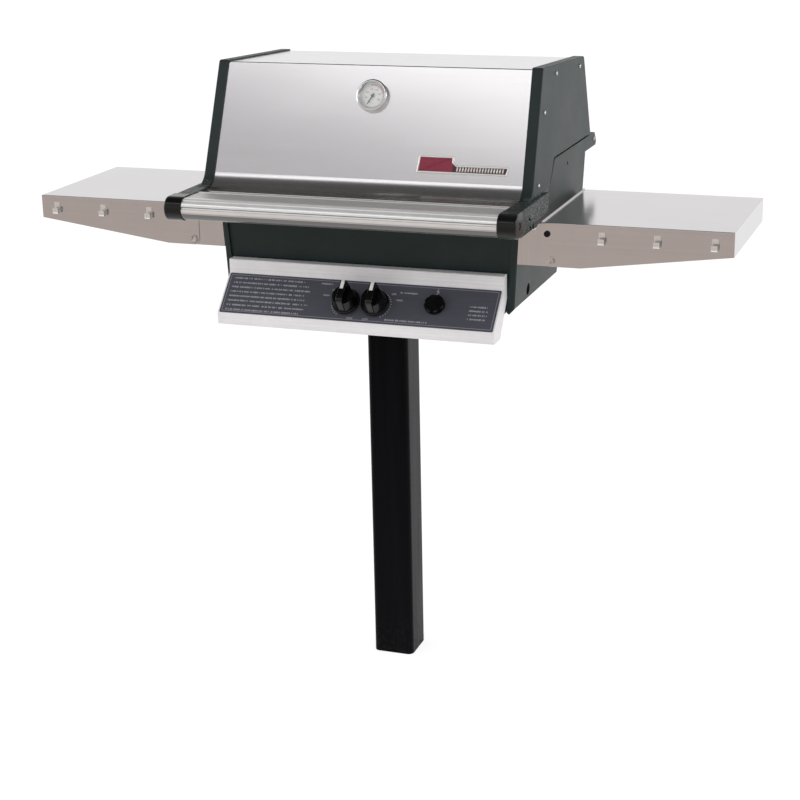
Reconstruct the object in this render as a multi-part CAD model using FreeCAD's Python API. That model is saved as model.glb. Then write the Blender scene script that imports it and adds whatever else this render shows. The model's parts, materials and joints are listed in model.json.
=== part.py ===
import FreeCAD, Part
import math
import os
from FreeCAD import Vector

# A gas grill head on a square post that stands in the ground.
# Millimetres, z up. The origin is where the post's axis meets the ground.
# The head is drawn in a frame of its own: x to the right, y backwards from the firebox's front face,
# z upwards from the top of the side shelves. Right-hand pieces are drawn and left-hand ones mirrored.

# Placing the head on the ground frame
shelf_height = 975.0
post_setback = 141.0

# Post
post_side = 86.0
post_wall = 3.0
post_corner = 12.0
post_buried = 450.0
anchor_hole_radius = 6.5
anchor_hole_depth = 300.0

# Post head plate, crossbars and their bolts
plate_thick = 6.0
plate_half_x = 80.0
plate_front_y = 40.0
plate_rear_edge = 23.0
gusset_reach = 35.0
gusset_drop = 55.0
gusset_thick = 5.0
gusset_offset = 20.0
bar_side = 25.0
bar_wall = 2.0
bar_end_length = 10.0
bar_front_y = 62.0
bar_rear_gap = 80.0
bolt_radius = 4.0
bolt_head_flats = 13.0
bolt_head_height = 5.3
bolt_nut_height = 6.0
plate_bolt_x = 50.0
casting_bolt_edge = 7.0

# Firebox castings
rim_half = 335.5
rim_ledge = 29.5
tub_taper = 9.0
tub_drop = 172.0
casting_wall = 5.0
rim_wall = 6.0
rim_drop = 14.0
ledge_thick = 6.0
front_rim_rise = 33.0
rear_rim_rise = 92.6
rim_step_front = 103.0
rim_step_length = 44.5
box_depth_top = 388.0
box_bend_rise = 61.0
box_lean = 19.4
box_slope = 56.6
flange_width_top = 39.5
flange_width_low = 53.5
flange_tip_drop = 12.0
foot_flange_width = 52.0
foot_flange_edge = 30.0
side_hole_y = 94.0
side_hole_z = -154.5
side_hole_radius = 11.5
front_corner_round = 4.0
rim_hole_depth = 142.0
rim_hole_drop = 26.0
rim_hole_radius = 3.5
grate_rib_z = -66.0
grate_rib_thick = 6.0
grate_rib_width = 54.5

# Sheet panels of the firebox
panel_sheet = 1.5
front_panel_lap_top = 4.0
front_panel_lap_low = 9.0
front_panel_drop = 166.5
vent_reach = 24.5
vent_top_z = -126.0
grid_rest_width = 15.0
grid_rest_thick = 3.0
rear_panel_drop = 26.6
floor_sheet = 1.2
floor_end_gap = 2.0
floor_front_y = 8.0
floor_rear_gap = 14.0
floor_front_z = -146.0
floor_rear_z = -158.0
floor_notch_y = 34.0
spout_edge = 13.0
spout_radius = 12.0
spout_length = 16.0

# Grease tray
tray_half = 62.0
tray_flange = 7.0
tray_front_y = 190.0
tray_proud = 33.0
tray_drop = 22.0
tray_wall = 1.2
tray_top_gap = 8.0
rail_lip = 6.0
rail_wall = 1.5

# Control panel
panel_end_gap = 52.5
panel_top_z = -103.0
panel_out = 22.0
panel_strip = 27.0
panel_slope = 66.0
panel_lip = 23.0
panel_return = 16.0
control_sheet = 1.2
panel_tab = 11.0
label_end_gap = 3.0
label_margin = 1.5
label_thick = 0.8
knob_down = 51.0
igniter_down = 44.0
left_valve_x = -21.5
right_valve_x = 38.5
igniter_x = 156.5

# Valves, measured along the spindle from the panel's face, inwards negative
valve_radius = 12.0
valve_floor = -46.0
valve_shoulder = -12.0
valve_boss_radius = 8.0
valve_front = -1.6
valve_inlet_radius = 6.0
valve_outlet_depth = -34.0
valve_outlet_radius = 7.0
valve_outlet_reach = 26.0
orifice_radius = 5.5
orifice_reach = 34.0
plug_radius = 5.0
plug_bottom = -42.5
plug_top = -27.5
chamber_radius = 6.3
chamber_top = -13.0
spindle_radius = 4.0
spindle_top = 24.0
collar_radius = 5.6
collar_bottom = -18.0
collar_thick = 2.0
tongue_width = 5.0
tongue_thick = 2.4
tongue_bottom = -36.0
spring_wire = 0.5
spring_radius = 4.9
spring_turns = 5
running_fit = 0.05
push_travel = 3.0
manifold_depth = -58.0
manifold_radius = 9.0
manifold_wall = 2.0
manifold_end = 28.5
manifold_inlet_x = 9.0
manifold_boss_radius = 7.5
manifold_boss_length = 11.0

# Knobs
knob_radius = 28.0
knob_gap = 6.0
knob_skirt = 4.0
knob_cone = 20.0
knob_cone_radius = 21.0
knob_height = 44.0
knob_bar_width = 13.0
igniter_knob_radius = 20.0
igniter_knob_gap = 2.0
igniter_knob_height = 10.0
igniter_flutes = 8
igniter_flute_radius = 4.5
igniter_flute_out = 1.4
igniter_body_radius = 12.5
igniter_body_depth = 38.0
igniter_neck_radius = 10.5
igniter_spindle_radius = 3.0
igniter_terminal_depth = -30.0
igniter_terminal_reach = 18.0

# Burners, their electrode and the grates
burner_gap = 12.0
burner_end_gap = 8.0
burner_front_y = 60.0
burner_depth = 210.0
burner_tube_width = 34.0
burner_low_z = -122.0
burner_height = 28.0
burner_wall = 1.2
burner_corner = 20.0
venturi_radius = 12.5
venturi_bend = 25.0
bell_radius = 17.0
bell_length = 14.0
port_radius = 1.5
port_pitch = 18.0
electrode_x = 190.0
electrode_z = -112.0
electrode_tail_y = -2.0
ceramic_radius = 4.0
electrode_rod_radius = 1.25
lead_radius = 1.5
grate_rod_radius = 3.0
grate_front_y = 24.0
grate_rear_gap = 36.6
grate_lap = 8.0
grate_pitch = 24.0
briquette_side = 50.0
briquette_height = 22.0
briquette_gap = 12.0
grid_rod_radius = 3.0
grid_frame_radius = 4.0
grid_end_gap = 4.5
grid_front_y = 12.0
grid_rear_gap = 8.6
grid_pitch = 17.0
grid_middle_gap = 3.0
rack_end_gap = 50.5
rack_depth = 91.0
rack_rear_gap = 17.0
rack_rise = 16.0
rack_pitch = 15.0
rack_hook_edge = 105.0
rack_rod_radius = 2.5
rack_brace_drop = 46.0

# Hood
hood_proud = 0.5
hood_lean = 5.0
hood_plate = 5.0
rim_edge = 3.0
rim_width = 21.0
rim_proud = 3.0
hood_sheet = 1.2
skin_gap = 0.3
flange_thick = 3.0
parting_gap = 3.0
ledge_front_y = -60.0
ledge_step = 7.5
bend_y = -14.7
bend_step = 2.5
bend_radius = 41.0
top_front_y = 77.3
top_front_rise = 274.3
top_rear_edge = 1.0
top_fall = 15.8
rear_slope = 46.4
rear_skin_lift = 8.0
top_front_radius = 6.0
top_rear_radius = 7.0
lip_y = -48.5
flange_setback = 5.0
lip_drop = 14.0
seam_width = 2.5

# Handle
arm_proud = 10.5
arm_width = 33.7
arm_front_y = -118.0
arm_rear_y = -49.0
arm_low = -5.0
arm_step = 2.5
arm_wall = 5.0
bar_inner_gap = 2.0
bar_tail_y = 75.0
bar_low = 4.0
grip_rear_y = -85.0
grip_front_y = -165.0
grip_top = 43.0
grip_low = 0.0
grip_nose = 20.0
grip_wall = 2.0
grip_gap = 0.5
flute_radius = 3.0
cap_over = 2.0
cap_proud = 1.5
cap_round = 4.0
spigot_length = 12.0

# Hinge
pin_reach = 24.6
pin_drop = 12.6
pin_radius = 4.0
pin_clear = 0.08
lug_thick = 11.0
ear_gap = 1.0
ear_thick = 11.0
ear_round = 12.0

# Thermometer and nameplate
gauge_drop = 59.3
gauge_radius = 31.0
gauge_depth = 12.0
gauge_dial_radius = 22.0
gauge_mouth_radius = 27.5
glass_low = 6.5
gauge_stem_radius = 3.2
gauge_stem_length = 60.0
plate_end_gap = 49.5
plate_length = 183.0
plate_bar_length = 109.7
plate_lift = 38.7
plate_block_height = 33.9
plate_bar_height = 17.8
plate_relief = 2.0
hood_screw_drop = 17.2
hood_screw_inset = 37.4
screw_head_radius = 4.5
screw_head_height = 2.2
screw_radius = 2.5
screw_length = 9.0

# Side shelves
shelf_gap = 2.5
shelf_length = 359.5
shelf_depth = 324.6
shelf_sheet = 1.2
skirt_setback = 6.5
shelf_lip = 3.0
skirt_drop_inner = 84.0
skirt_drop_outer = 46.3
skirt_flat = 68.0
shelf_pivot_edge = 11.0
shelf_pivot_drop = 73.0
stop_pin_gap = 7.0
stop_pin_drop = 21.5
stop_pin_radius = 3.5
stop_notch_radius = 4.3
stop_notch_turn = 9.0
pin_head_over = 2.5
pin_head_height = 2.0
pin_washer_over = 4.5
pin_washer_thick = 0.8
bracket_sheet = 2.0
bracket_gap = 0.4
bracket_tip = 21.0
bracket_top = 3.0
bracket_shoulder_gap = 5.5
bracket_shoulder_drop = 16.0
hook_edges = [244.5, 141.0, 35.0]
hook_width = 12.0
hook_top = 13.0
hook_low = 36.0
hook_reach = 11.0
hook_tip = 12.0
hook_sheet = 1.5

# Gas line
pipe_radius = 10.65
pipe_wall = 2.7
pipe_bend = 28.0
pipe_drop = 238.0
pipe_reach = 11.0
pipe_foot = 50.0
pipe_thread_length = 20.0
pipe_thread_radius = 10.4
pipe_hole_radius = 12.5
cock_length = 30.0
cock_radius = 13.0
cock_lever_x = 20.0
cock_lever_length = 50.0
feed_radius = 5.0


# Drawing helpers

def space(plane, u, v, w):
    """Point whose plane coordinates are u and v, at w along the plane's normal."""
    if plane == "yz":
        return Vector(w, u, v)
    if plane == "xz":
        return Vector(u, w, v)
    return Vector(u, v, w)


def unit(u, v):
    """The direction of (u, v) with length one."""
    length = math.hypot(u, v)
    return u / length, v / length


def with_radius(point):
    """A corner as (u, v, radius), where a plain corner has none."""
    return point if len(point) == 3 else (point[0], point[1], 0.0)


def outline(plane, corners, w):
    """Closed face through the corners (u, v) or (u, v, radius), rounded where a radius is given."""
    corners = [with_radius(c) for c in corners]
    count = len(corners)
    edges = []
    last = None
    first = None
    for i in range(count):
        before = corners[i - 1]
        here = corners[i]
        after = corners[(i + 1) % count]
        if here[2] > 0.0:
            a = unit(here[0] - before[0], here[1] - before[1])
            b = unit(after[0] - here[0], after[1] - here[1])
            cross = a[0] * b[1] - a[1] * b[0]
            turn = math.atan2(abs(cross), a[0] * b[0] + a[1] * b[1])
            reach = here[2] * math.tan(turn / 2)
            side = 1.0 if cross > 0 else -1.0
            start = (here[0] - a[0] * reach, here[1] - a[1] * reach)
            end = (here[0] + b[0] * reach, here[1] + b[1] * reach)
            centre = (start[0] - a[1] * here[2] * side, start[1] + a[0] * here[2] * side)
            out = unit(here[0] - centre[0], here[1] - centre[1])
            middle = (centre[0] + out[0] * here[2], centre[1] + out[1] * here[2])
            arc = Part.Arc(space(plane, start[0], start[1], w), space(plane, middle[0], middle[1], w),
                           space(plane, end[0], end[1], w)).toShape()
        else:
            start = end = (here[0], here[1])
            arc = None
        if last is not None:
            edges.append(Part.LineSegment(space(plane, last[0], last[1], w),
                                          space(plane, start[0], start[1], w)).toShape())
        else:
            first = start
        if arc is not None:
            edges.append(arc)
        last = end
    edges.append(Part.LineSegment(space(plane, last[0], last[1], w),
                                  space(plane, first[0], first[1], w)).toShape())
    return Part.Face(Part.Wire(edges))


def prism(plane, corners, low, high):
    """Solid of the outline from low to high along the plane's normal."""
    face = outline(plane, corners, low)
    return face.extrude(space(plane, 0.0, 0.0, high - low))


def block(x0, x1, y0, y1, z0, z1):
    """Box between two corners."""
    return Part.makeBox(x1 - x0, y1 - y0, z1 - z0, Vector(x0, y0, z0))


def rod(start, end, radius):
    """Round bar between two points."""
    return Part.makeCylinder(radius, (end - start).Length, start, end - start)


def ring_loop(x0, x1, y0, y1, radius):
    """Corners of a rounded rectangle."""
    return [(x0, y0, radius), (x1, y0, radius), (x1, y1, radius), (x0, y1, radius)]


def shifted(path, distance):
    """Open path moved to its right, its corner radii kept parallel."""
    path = [with_radius(p) for p in path]
    moved = []
    for i, here in enumerate(path):
        ways = []
        if i > 0:
            ways.append(unit(here[0] - path[i - 1][0], here[1] - path[i - 1][1]))
        if i < len(path) - 1:
            ways.append(unit(path[i + 1][0] - here[0], path[i + 1][1] - here[1]))
        sides = [(way[1], -way[0]) for way in ways]
        if len(sides) == 1:
            moved.append((here[0] + sides[0][0] * distance, here[1] + sides[0][1] * distance, 0.0))
            continue
        scale = distance / (1.0 + sides[0][0] * sides[1][0] + sides[0][1] * sides[1][1])
        cross = ways[0][0] * ways[1][1] - ways[0][1] * ways[1][0]
        radius = here[2] + distance if cross > 0 else max(here[2] - distance, 0.0)
        moved.append((here[0] + (sides[0][0] + sides[1][0]) * scale,
                      here[1] + (sides[0][1] + sides[1][1]) * scale,
                      radius if here[2] > 0.0 else 0.0))
    return moved


def sheet_loop(path, thickness):
    """Corners of a bent sheet whose one face follows the path, the other lying to its right."""
    return [with_radius(p) for p in path] + list(reversed(shifted(path, thickness)))


def inset(loop, distance):
    """Closed clockwise loop moved inwards."""
    loop = [with_radius(p) for p in loop]
    wrapped = [loop[-1]] + loop + [loop[0]]
    return shifted(wrapped, distance)[1:-1]


def turned(shape, angle, place):
    """Copy turned about the x axis by angle degrees, then moved to place."""
    moved = shape.copy()
    moved.rotate(Vector(0, 0, 0), Vector(1, 0, 0), angle)
    moved.translate(place)
    return moved


def mirrored(shape):
    """Left-hand copy of a right-hand shape."""
    return shape.mirror(Vector(0, 0, 0), Vector(1, 0, 0))


def fused(shapes):
    """One solid from shapes that meet."""
    return shapes[0].multiFuse(shapes[1:]).removeSplitter()


def hexagon(flats, low, high, centre):
    """Six-sided bar along z."""
    radius = flats / math.sqrt(3.0)
    corners = [(centre.x + radius * math.cos(math.radians(60 * i)),
                centre.y + radius * math.sin(math.radians(60 * i))) for i in range(6)]
    return prism("xy", corners, centre.z + low, centre.z + high)


def bent_tube(points, radius, bend=None):
    """Round bar along straight runs joined by tangent arcs, as wide as fits unless bend is given."""
    edges = []
    last = points[0]
    for i in range(1, len(points) - 1):
        into = points[i] - points[i - 1]
        out = points[i + 1] - points[i]
        turn = into.getAngle(out)
        arc_radius = bend if bend else 0.45 * min(into.Length, out.Length) / math.tan(turn / 2)
        reach = arc_radius * math.tan(turn / 2)
        into.normalize()
        out.normalize()
        start = points[i] - into * reach
        end = points[i] + out * reach
        inward = (out - into).normalize()
        middle = points[i] + inward * (arc_radius / math.cos(turn / 2) - arc_radius)
        edges.append(Part.LineSegment(last, start).toShape())
        edges.append(Part.Arc(start, middle, end).toShape())
        last = end
    edges.append(Part.LineSegment(last, points[-1]).toShape())
    path = Part.Wire(edges)
    circle = Part.Wire(Part.makeCircle(radius, points[0], points[1] - points[0]))
    return path.makePipeShell([circle], True, False)


# Places worked out from the sizes

tub_half_top = rim_half - rim_ledge
tub_half_low = tub_half_top - tub_taper
box_depth_rim = box_depth_top - box_lean
box_depth_low = box_depth_rim - box_slope
rim_step_rear = rim_step_front + rim_step_length
flange_half_top = rim_half - flange_width_top
flange_half_low = rim_half - flange_width_low
foot_flange_half = tub_half_low - foot_flange_width
casting_bolt_x = foot_flange_half + casting_bolt_edge
bar_half_length = casting_bolt_x + bar_end_length
bar_rear_y = box_depth_low - bar_rear_gap
plate_rear_y = bar_rear_y + plate_rear_edge
foot_flange_rear_y = bar_rear_y + foot_flange_edge
rim_hole_y = box_depth_top - rim_hole_depth
rim_hole_z = rear_rim_rise - rim_hole_drop
grate_rib_half = rim_half - grate_rib_width
front_panel_half_top = flange_half_top + front_panel_lap_top
front_panel_half_low = flange_half_low + front_panel_lap_low
vent_left_x = left_valve_x - vent_reach
vent_right_x = right_valve_x + vent_reach
rear_panel_top_z = rear_rim_rise - rear_panel_drop
floor_half = tub_half_low - casting_wall - floor_end_gap
floor_rear_y = box_depth_low - floor_rear_gap
spout_y = floor_rear_y - spout_edge
tray_rear_y = box_depth_low + tray_proud
panel_half = rim_half - panel_end_gap
label_half = panel_half - label_end_gap
manifold_left_x = left_valve_x - manifold_end
manifold_right_x = right_valve_x + manifold_end
burner_width = tub_half_low - casting_wall - burner_end_gap - burner_gap / 2
grate_rear_y = box_depth_rim - grate_rear_gap
grate_half = grate_rib_half + grate_lap
briquette_pitch = briquette_side + briquette_gap
briquette_columns = int((2 * grate_half + briquette_gap) / briquette_pitch)
briquette_rows = int((grate_rear_y - grate_front_y + briquette_gap) / briquette_pitch)
grid_half = rim_half - rim_wall - grid_end_gap
grid_rear_y = box_depth_rim - grid_rear_gap
rack_half = rim_half - rack_end_gap
rack_rear_y = box_depth_top - rack_rear_gap
rack_front_y = rack_rear_y - rack_depth
rack_z = rear_panel_top_z + rack_rise
rack_hook_x = rack_half - rack_hook_edge
rack_brace_z = rack_z - rack_brace_drop
hood_half_low = rim_half + hood_proud
hood_half_top = hood_half_low - hood_lean
ledge_rise = front_rim_rise + ledge_step
bend_rise = ledge_rise + bend_step
top_rear_y = box_depth_top + top_rear_edge
top_rear_rise = top_front_rise - top_fall
rear_low_y = top_rear_y + rear_slope
arm_top = ledge_rise + arm_step
arm_outer = rim_half + arm_proud
arm_inner = arm_outer - arm_width
cap_outer = arm_outer + cap_over
pin_y = rear_low_y + pin_reach
pin_rise = rear_rim_rise - pin_drop
lug_inner = rim_half - lug_thick
ear_outer = lug_inner - ear_gap
ear_inner = ear_outer - ear_thick
gauge_rise = top_front_rise - gauge_drop
plate_right_x = rim_half - plate_end_gap
plate_block_x = plate_right_x - plate_bar_length
plate_left_x = plate_right_x - plate_length
plate_low_rise = bend_rise + plate_lift
shelf_inner = cap_outer + shelf_gap
shelf_outer = shelf_inner + shelf_length
skirt_inner = shelf_inner + skirt_setback
skirt_knee = skirt_inner + skirt_flat
shelf_pivot_x = skirt_inner + shelf_pivot_edge
stop_pin_x = shelf_pivot_x - stop_pin_gap
bracket_outer = shelf_pivot_x + bracket_tip
bracket_shoulder_x = rim_half + bracket_shoulder_gap
hook_places = [shelf_outer - edge for edge in hook_edges]
head_place = Vector(0, -post_setback, shelf_height)
pipe_end_y = post_setback - post_side / 2 - pipe_reach
cock_front_y = pipe_end_y - cock_length
bar_low_z = -tub_drop - bar_side
plate_low_z = bar_low_z - plate_thick
post_top_z = shelf_height + plate_low_z
label_angle = 45.0
face_y = -panel_out
face_z = panel_top_z - panel_strip
slope_cos = math.cos(math.radians(label_angle))
slope_sin = math.sin(math.radians(label_angle))


def tub_half(z):
    """Half the tub's outer width at a height of the head frame."""
    share = (-rim_drop - z) / (tub_drop - rim_drop)
    return tub_half_top + (tub_half_low - tub_half_top) * share


def floor_z(y):
    """Top of the sloping floor."""
    share = (y - floor_front_y) / (floor_rear_y - floor_front_y)
    return floor_front_z + (floor_rear_z - floor_front_z) * share


def control_place(x):
    """Point on the label's backing face where a control's axis crosses it."""
    down = igniter_down if x == igniter_x else knob_down
    return Vector(x, face_y - down * slope_cos, face_z - down * slope_sin)


def at_control(shape, x):
    """Shape drawn about the z axis, set square to the sloping face at x."""
    return turned(shape, label_angle, control_place(x))


hood_path = [(ledge_front_y, ledge_rise),
             (bend_y, bend_rise, bend_radius),
             (top_front_y, top_front_rise, top_front_radius),
             (top_rear_y, top_rear_rise, top_rear_radius),
             (rear_low_y, rear_rim_rise + parting_gap)]
skin_path = shifted(hood_path, rim_proud)
rear_path = [(box_depth_top, rear_rim_rise), (box_depth_top, box_bend_rise),
             (box_depth_rim, -rim_drop), (box_depth_low, -tub_drop)]
grip_loop = [(grip_rear_y, grip_top - 2.0, 2.5), (grip_rear_y, grip_top - 10.0, 2.5),
             (grip_front_y + 28.0, grip_low, 14.0), (grip_front_y, grip_low, grip_nose),
             (grip_front_y, grip_top, grip_nose)]
hood_top_slope = (top_rear_rise - top_front_rise) / (top_rear_y - top_front_y)
hood_screw_rise = top_front_rise - hood_screw_drop
screw_y = (top_front_y + (top_rear_y - top_front_y) * 0.3, top_rear_y - 38.0)
front_slope = (top_front_y - bend_y) / (top_front_rise - bend_rise)
screw_z = (bend_rise + (top_front_rise - bend_rise) * 0.64, bend_rise + 19.0)
hood_screw_places = [(y, hood_screw_rise + (y - top_front_y) * hood_top_slope) for y in screw_y]
hood_screw_places += [(bend_y + (z - bend_rise) * front_slope + hood_screw_inset, z) for z in screw_z]
front_lean = math.degrees(math.atan2(top_front_rise - bend_rise, top_front_y - bend_y))
skin_front_low = skin_path[1]
skin_front_high = skin_path[2]


def hood_half(z):
    """Half the hood's width at a height: its ends lean inwards towards the top."""
    share = (z - ledge_rise) / (top_front_rise - ledge_rise)
    return hood_half_low + (hood_half_top - hood_half_low) * share


def end_band(inner, outer):
    """Leaning slab between two distances in from the hood's right-hand side."""
    low = 0.0
    high = top_front_rise + 20.0
    corners = [(hood_half(low) - outer, low), (hood_half(high) - outer, high),
               (hood_half(high) - inner, high), (hood_half(low) - inner, low)]
    return prism("xz", corners, ledge_front_y - 20.0, rear_low_y + 20.0)


def between_ends(path):
    """Bent sheet along the path, its ends cut to the leaning castings."""
    low = 0.0
    high = top_front_rise + 20.0
    gap = hood_plate + skin_gap
    corners = [(-hood_half(low) + gap, low), (-hood_half(high) + gap, high),
               (hood_half(high) - gap, high), (hood_half(low) - gap, low)]
    room = prism("xz", corners, ledge_front_y - 20.0, rear_low_y + 20.0)
    return prism("yz", sheet_loop(path, hood_sheet), -rim_half - 10.0, rim_half + 10.0).common(room)


def front_skin_y(z):
    """Depth of the hood's front sheet, on its outside, at a height."""
    share = (z - skin_front_low[1]) / (skin_front_high[1] - skin_front_low[1])
    return skin_front_low[0] + (skin_front_high[0] - skin_front_low[0]) * share


def on_front(shape, x, z):
    """Shape drawn about the z axis, set square to the hood's front sheet."""
    return turned(shape, front_lean, Vector(x, front_skin_y(z), z))


# Post and support

def post_tube():
    """Square tube with its gas outlet and the two anchor-rod holes."""
    half = post_side / 2
    outer = prism("xy", ring_loop(-half, half, -half, half, post_corner), -post_buried, post_top_z)
    inner = half - post_wall
    hollow = prism("xy", ring_loop(-inner, inner, -inner, inner, post_corner - post_wall),
                   -post_buried - 1, post_top_z + 1)
    tube = outer.cut(hollow)
    outlet_z = shelf_height - pipe_drop
    outlet = rod(Vector(0, -half - 1, outlet_z), Vector(0, 0, outlet_z), pipe_hole_radius)
    anchor = rod(Vector(-half - 1, inner / 2, -anchor_hole_depth),
                 Vector(half + 1, inner / 2, -anchor_hole_depth), anchor_hole_radius)
    return tube.cut(outlet.fuse(anchor))


def post_head_plate():
    """Plate on the post's end, with side gussets and the grease tray's rails."""
    plate = block(-plate_half_x, plate_half_x, plate_front_y, plate_rear_y, plate_low_z, bar_low_z)
    pieces = [plate]
    half = post_side / 2
    for side in (-1, 1):
        for offset in (-gusset_offset, gusset_offset):
            y = post_setback + offset
            corners = [(side * half, plate_low_z), (side * (half + gusset_reach), plate_low_z),
                       (side * half, plate_low_z - gusset_drop)]
            pieces.append(prism("xz", corners, y - gusset_thick / 2, y + gusset_thick / 2))
        rail_outer = tray_half + tray_flange + 1.0 + rail_wall
        rail_low = plate_low_z - tray_top_gap - 4.0
        web = [(side * (rail_outer - rail_wall), plate_low_z), (side * rail_outer, plate_low_z),
               (side * rail_outer, rail_low), (side * (rail_outer - rail_lip), rail_low),
               (side * (rail_outer - rail_lip), rail_low + rail_wall),
               (side * (rail_outer - rail_wall), rail_low + rail_wall)]
        pieces.append(prism("xz", web, tray_front_y - 4.0, tray_rear_y - 5.0))
    body = fused(pieces)
    holes = [rod(Vector(x, y, plate_low_z - 1), Vector(x, y, bar_low_z + 1), bolt_radius)
             for x in (-plate_bolt_x, plate_bolt_x) for y in (bar_front_y, bar_rear_y)]
    return body.cut(Part.makeCompound(holes))


def support_crossbars():
    """Front and rear square tubes between the castings and the post head plate."""
    bars = []
    for y in (bar_front_y, bar_rear_y):
        half = bar_side / 2
        outer = block(-bar_half_length, bar_half_length, y - half, y + half, bar_low_z, -tub_drop)
        hollow = block(-bar_half_length - 1, bar_half_length + 1, y - half + bar_wall, y + half - bar_wall,
                       bar_low_z + bar_wall, -tub_drop - bar_wall)
        bar = outer.cut(hollow)
        for x in (-casting_bolt_x, -plate_bolt_x, plate_bolt_x, casting_bolt_x):
            bar = bar.cut(rod(Vector(x, y, bar_low_z - 1), Vector(x, y, -tub_drop + 1), bolt_radius))
        bars.append(bar)
    return Part.makeCompound(bars)


def bolt_through(x, y, low, high):
    """Bolt whose head bears on high and whose nut bears on low."""
    shank = rod(Vector(x, y, low - bolt_nut_height - 0.4), Vector(x, y, high), bolt_radius)
    head = hexagon(bolt_head_flats, 0.0, bolt_head_height, Vector(x, y, high))
    nut = hexagon(bolt_head_flats, -bolt_nut_height, 0.0, Vector(x, y, low))
    return fused([shank, head, nut])


def mounting_bolts():
    """Four bolts hold the bars to the plate, four hold the castings to the bars."""
    bolts = []
    for y in (bar_front_y, bar_rear_y):
        for side in (-1, 1):
            bolts.append(bolt_through(side * plate_bolt_x, y, plate_low_z, -tub_drop))
            bolts.append(bolt_through(side * casting_bolt_x, y, bar_low_z, -tub_drop + casting_wall))
    return Part.makeCompound(bolts)


# Firebox

def on_front_corner(edge):
    """True for the slanting edge where the casting's front meets the tub's side."""
    on_corner = all(abs(v.Y) < 0.01 and abs(v.X - tub_half(v.Z)) < 0.01 for v in edge.Vertexes)
    return on_corner and edge.Length > tub_drop / 2


def firebox_side():
    """Right-hand end casting: rim, tub wall, ledge, flanges, hinge lug and grate rib."""
    rim_outline = [(0.0, -rim_drop), (0.0, front_rim_rise), (rim_step_front, front_rim_rise, 6.0),
                   (rim_step_rear, rear_rim_rise, 6.0)] + rear_path[:3]
    rim = prism("yz", rim_outline, rim_half - rim_wall, rim_half)
    ledge_top = ledge_thick - rim_drop
    inner_top = tub_half_top - casting_wall
    ledge = block(inner_top, rim_half, 0.0, box_depth_rim, -rim_drop, ledge_top)
    slant = [(tub_half_top, -rim_drop), (tub_half_low, -tub_drop),
             (tub_half_low - casting_wall, -tub_drop), (inner_top, -rim_drop)]
    tub_side = [(0.0, -rim_drop), (box_depth_rim, -rim_drop), (box_depth_low, -tub_drop),
                (0.0, -tub_drop)]
    wall = prism("xz", slant, 0.0, box_depth_top).common(prism("yz", tub_side, 0.0, rim_half))
    front = prism("xz", [(rim_half, front_rim_rise), (rim_half, -rim_drop), (tub_half_top, -rim_drop),
                         (tub_half_low, -tub_drop), (flange_half_low + 4.0, -tub_drop - flange_tip_drop, 3.0),
                         (flange_half_low, -tub_drop - flange_tip_drop + 5.0), (flange_half_top, -rim_drop),
                         (flange_half_top, front_rim_rise)], 0.0, casting_wall)
    upper_rear = prism("yz", sheet_loop(rear_path[:3], casting_wall), flange_half_top, rim_half)
    lower_rear = prism("yz", sheet_loop(rear_path[2:], casting_wall), flange_half_low, rim_half)
    lap_z = -rim_drop + rim_wall / 2
    under_slant = prism("xz", [(flange_half_low, lap_z), (tub_half_top, lap_z), (tub_half_top, -rim_drop),
                               (tub_half_low, -tub_drop), (flange_half_low, -tub_drop)], 0.0, box_depth_top)
    foot = block(foot_flange_half, tub_half_low - 2.0, 0.0, foot_flange_rear_y,
                 -tub_drop, -tub_drop + casting_wall)
    rib = block(grate_rib_half, tub_half(grate_rib_z) - 1.0, grate_front_y - 4.0, grate_rear_y + 4.0,
                grate_rib_z, grate_rib_z + grate_rib_thick)
    lug = prism("yz", [(box_depth_top - 9.0, rear_rim_rise), (pin_y + 7.0, rear_rim_rise, 5.0),
                       (pin_y + 21.0, pin_rise - 8.0, 5.0), (pin_y + 16.0, pin_rise - 15.0, 4.0),
                       (box_depth_top - 9.0, pin_rise - 15.0)], lug_inner, rim_half)
    body = fused([rim, ledge, wall, front, upper_rear, lower_rear.common(under_slant), foot, rib, lug])
    body = body.makeFillet(front_corner_round, [e for e in body.Edges if on_front_corner(e)])
    cuts = [rod(Vector(lug_inner - 5, pin_y, pin_rise), Vector(rim_half + 5, pin_y, pin_rise), pin_radius)]
    cuts.append(rod(Vector(tub_half_low - 20, side_hole_y, side_hole_z),
                    Vector(rim_half, side_hole_y, side_hole_z), side_hole_radius))
    for y in (bar_front_y, bar_rear_y):
        cuts.append(rod(Vector(casting_bolt_x, y, -tub_drop - 1),
                        Vector(casting_bolt_x, y, -tub_drop + casting_wall + 1), bolt_radius))
    cuts.append(rod(Vector(rim_half - 10, rim_hole_y, rim_hole_z),
                    Vector(rim_half + 1, rim_hole_y, rim_hole_z), rim_hole_radius))
    cuts += bracket_bolt_shanks()
    return body.cut(Part.makeCompound(cuts))


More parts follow.
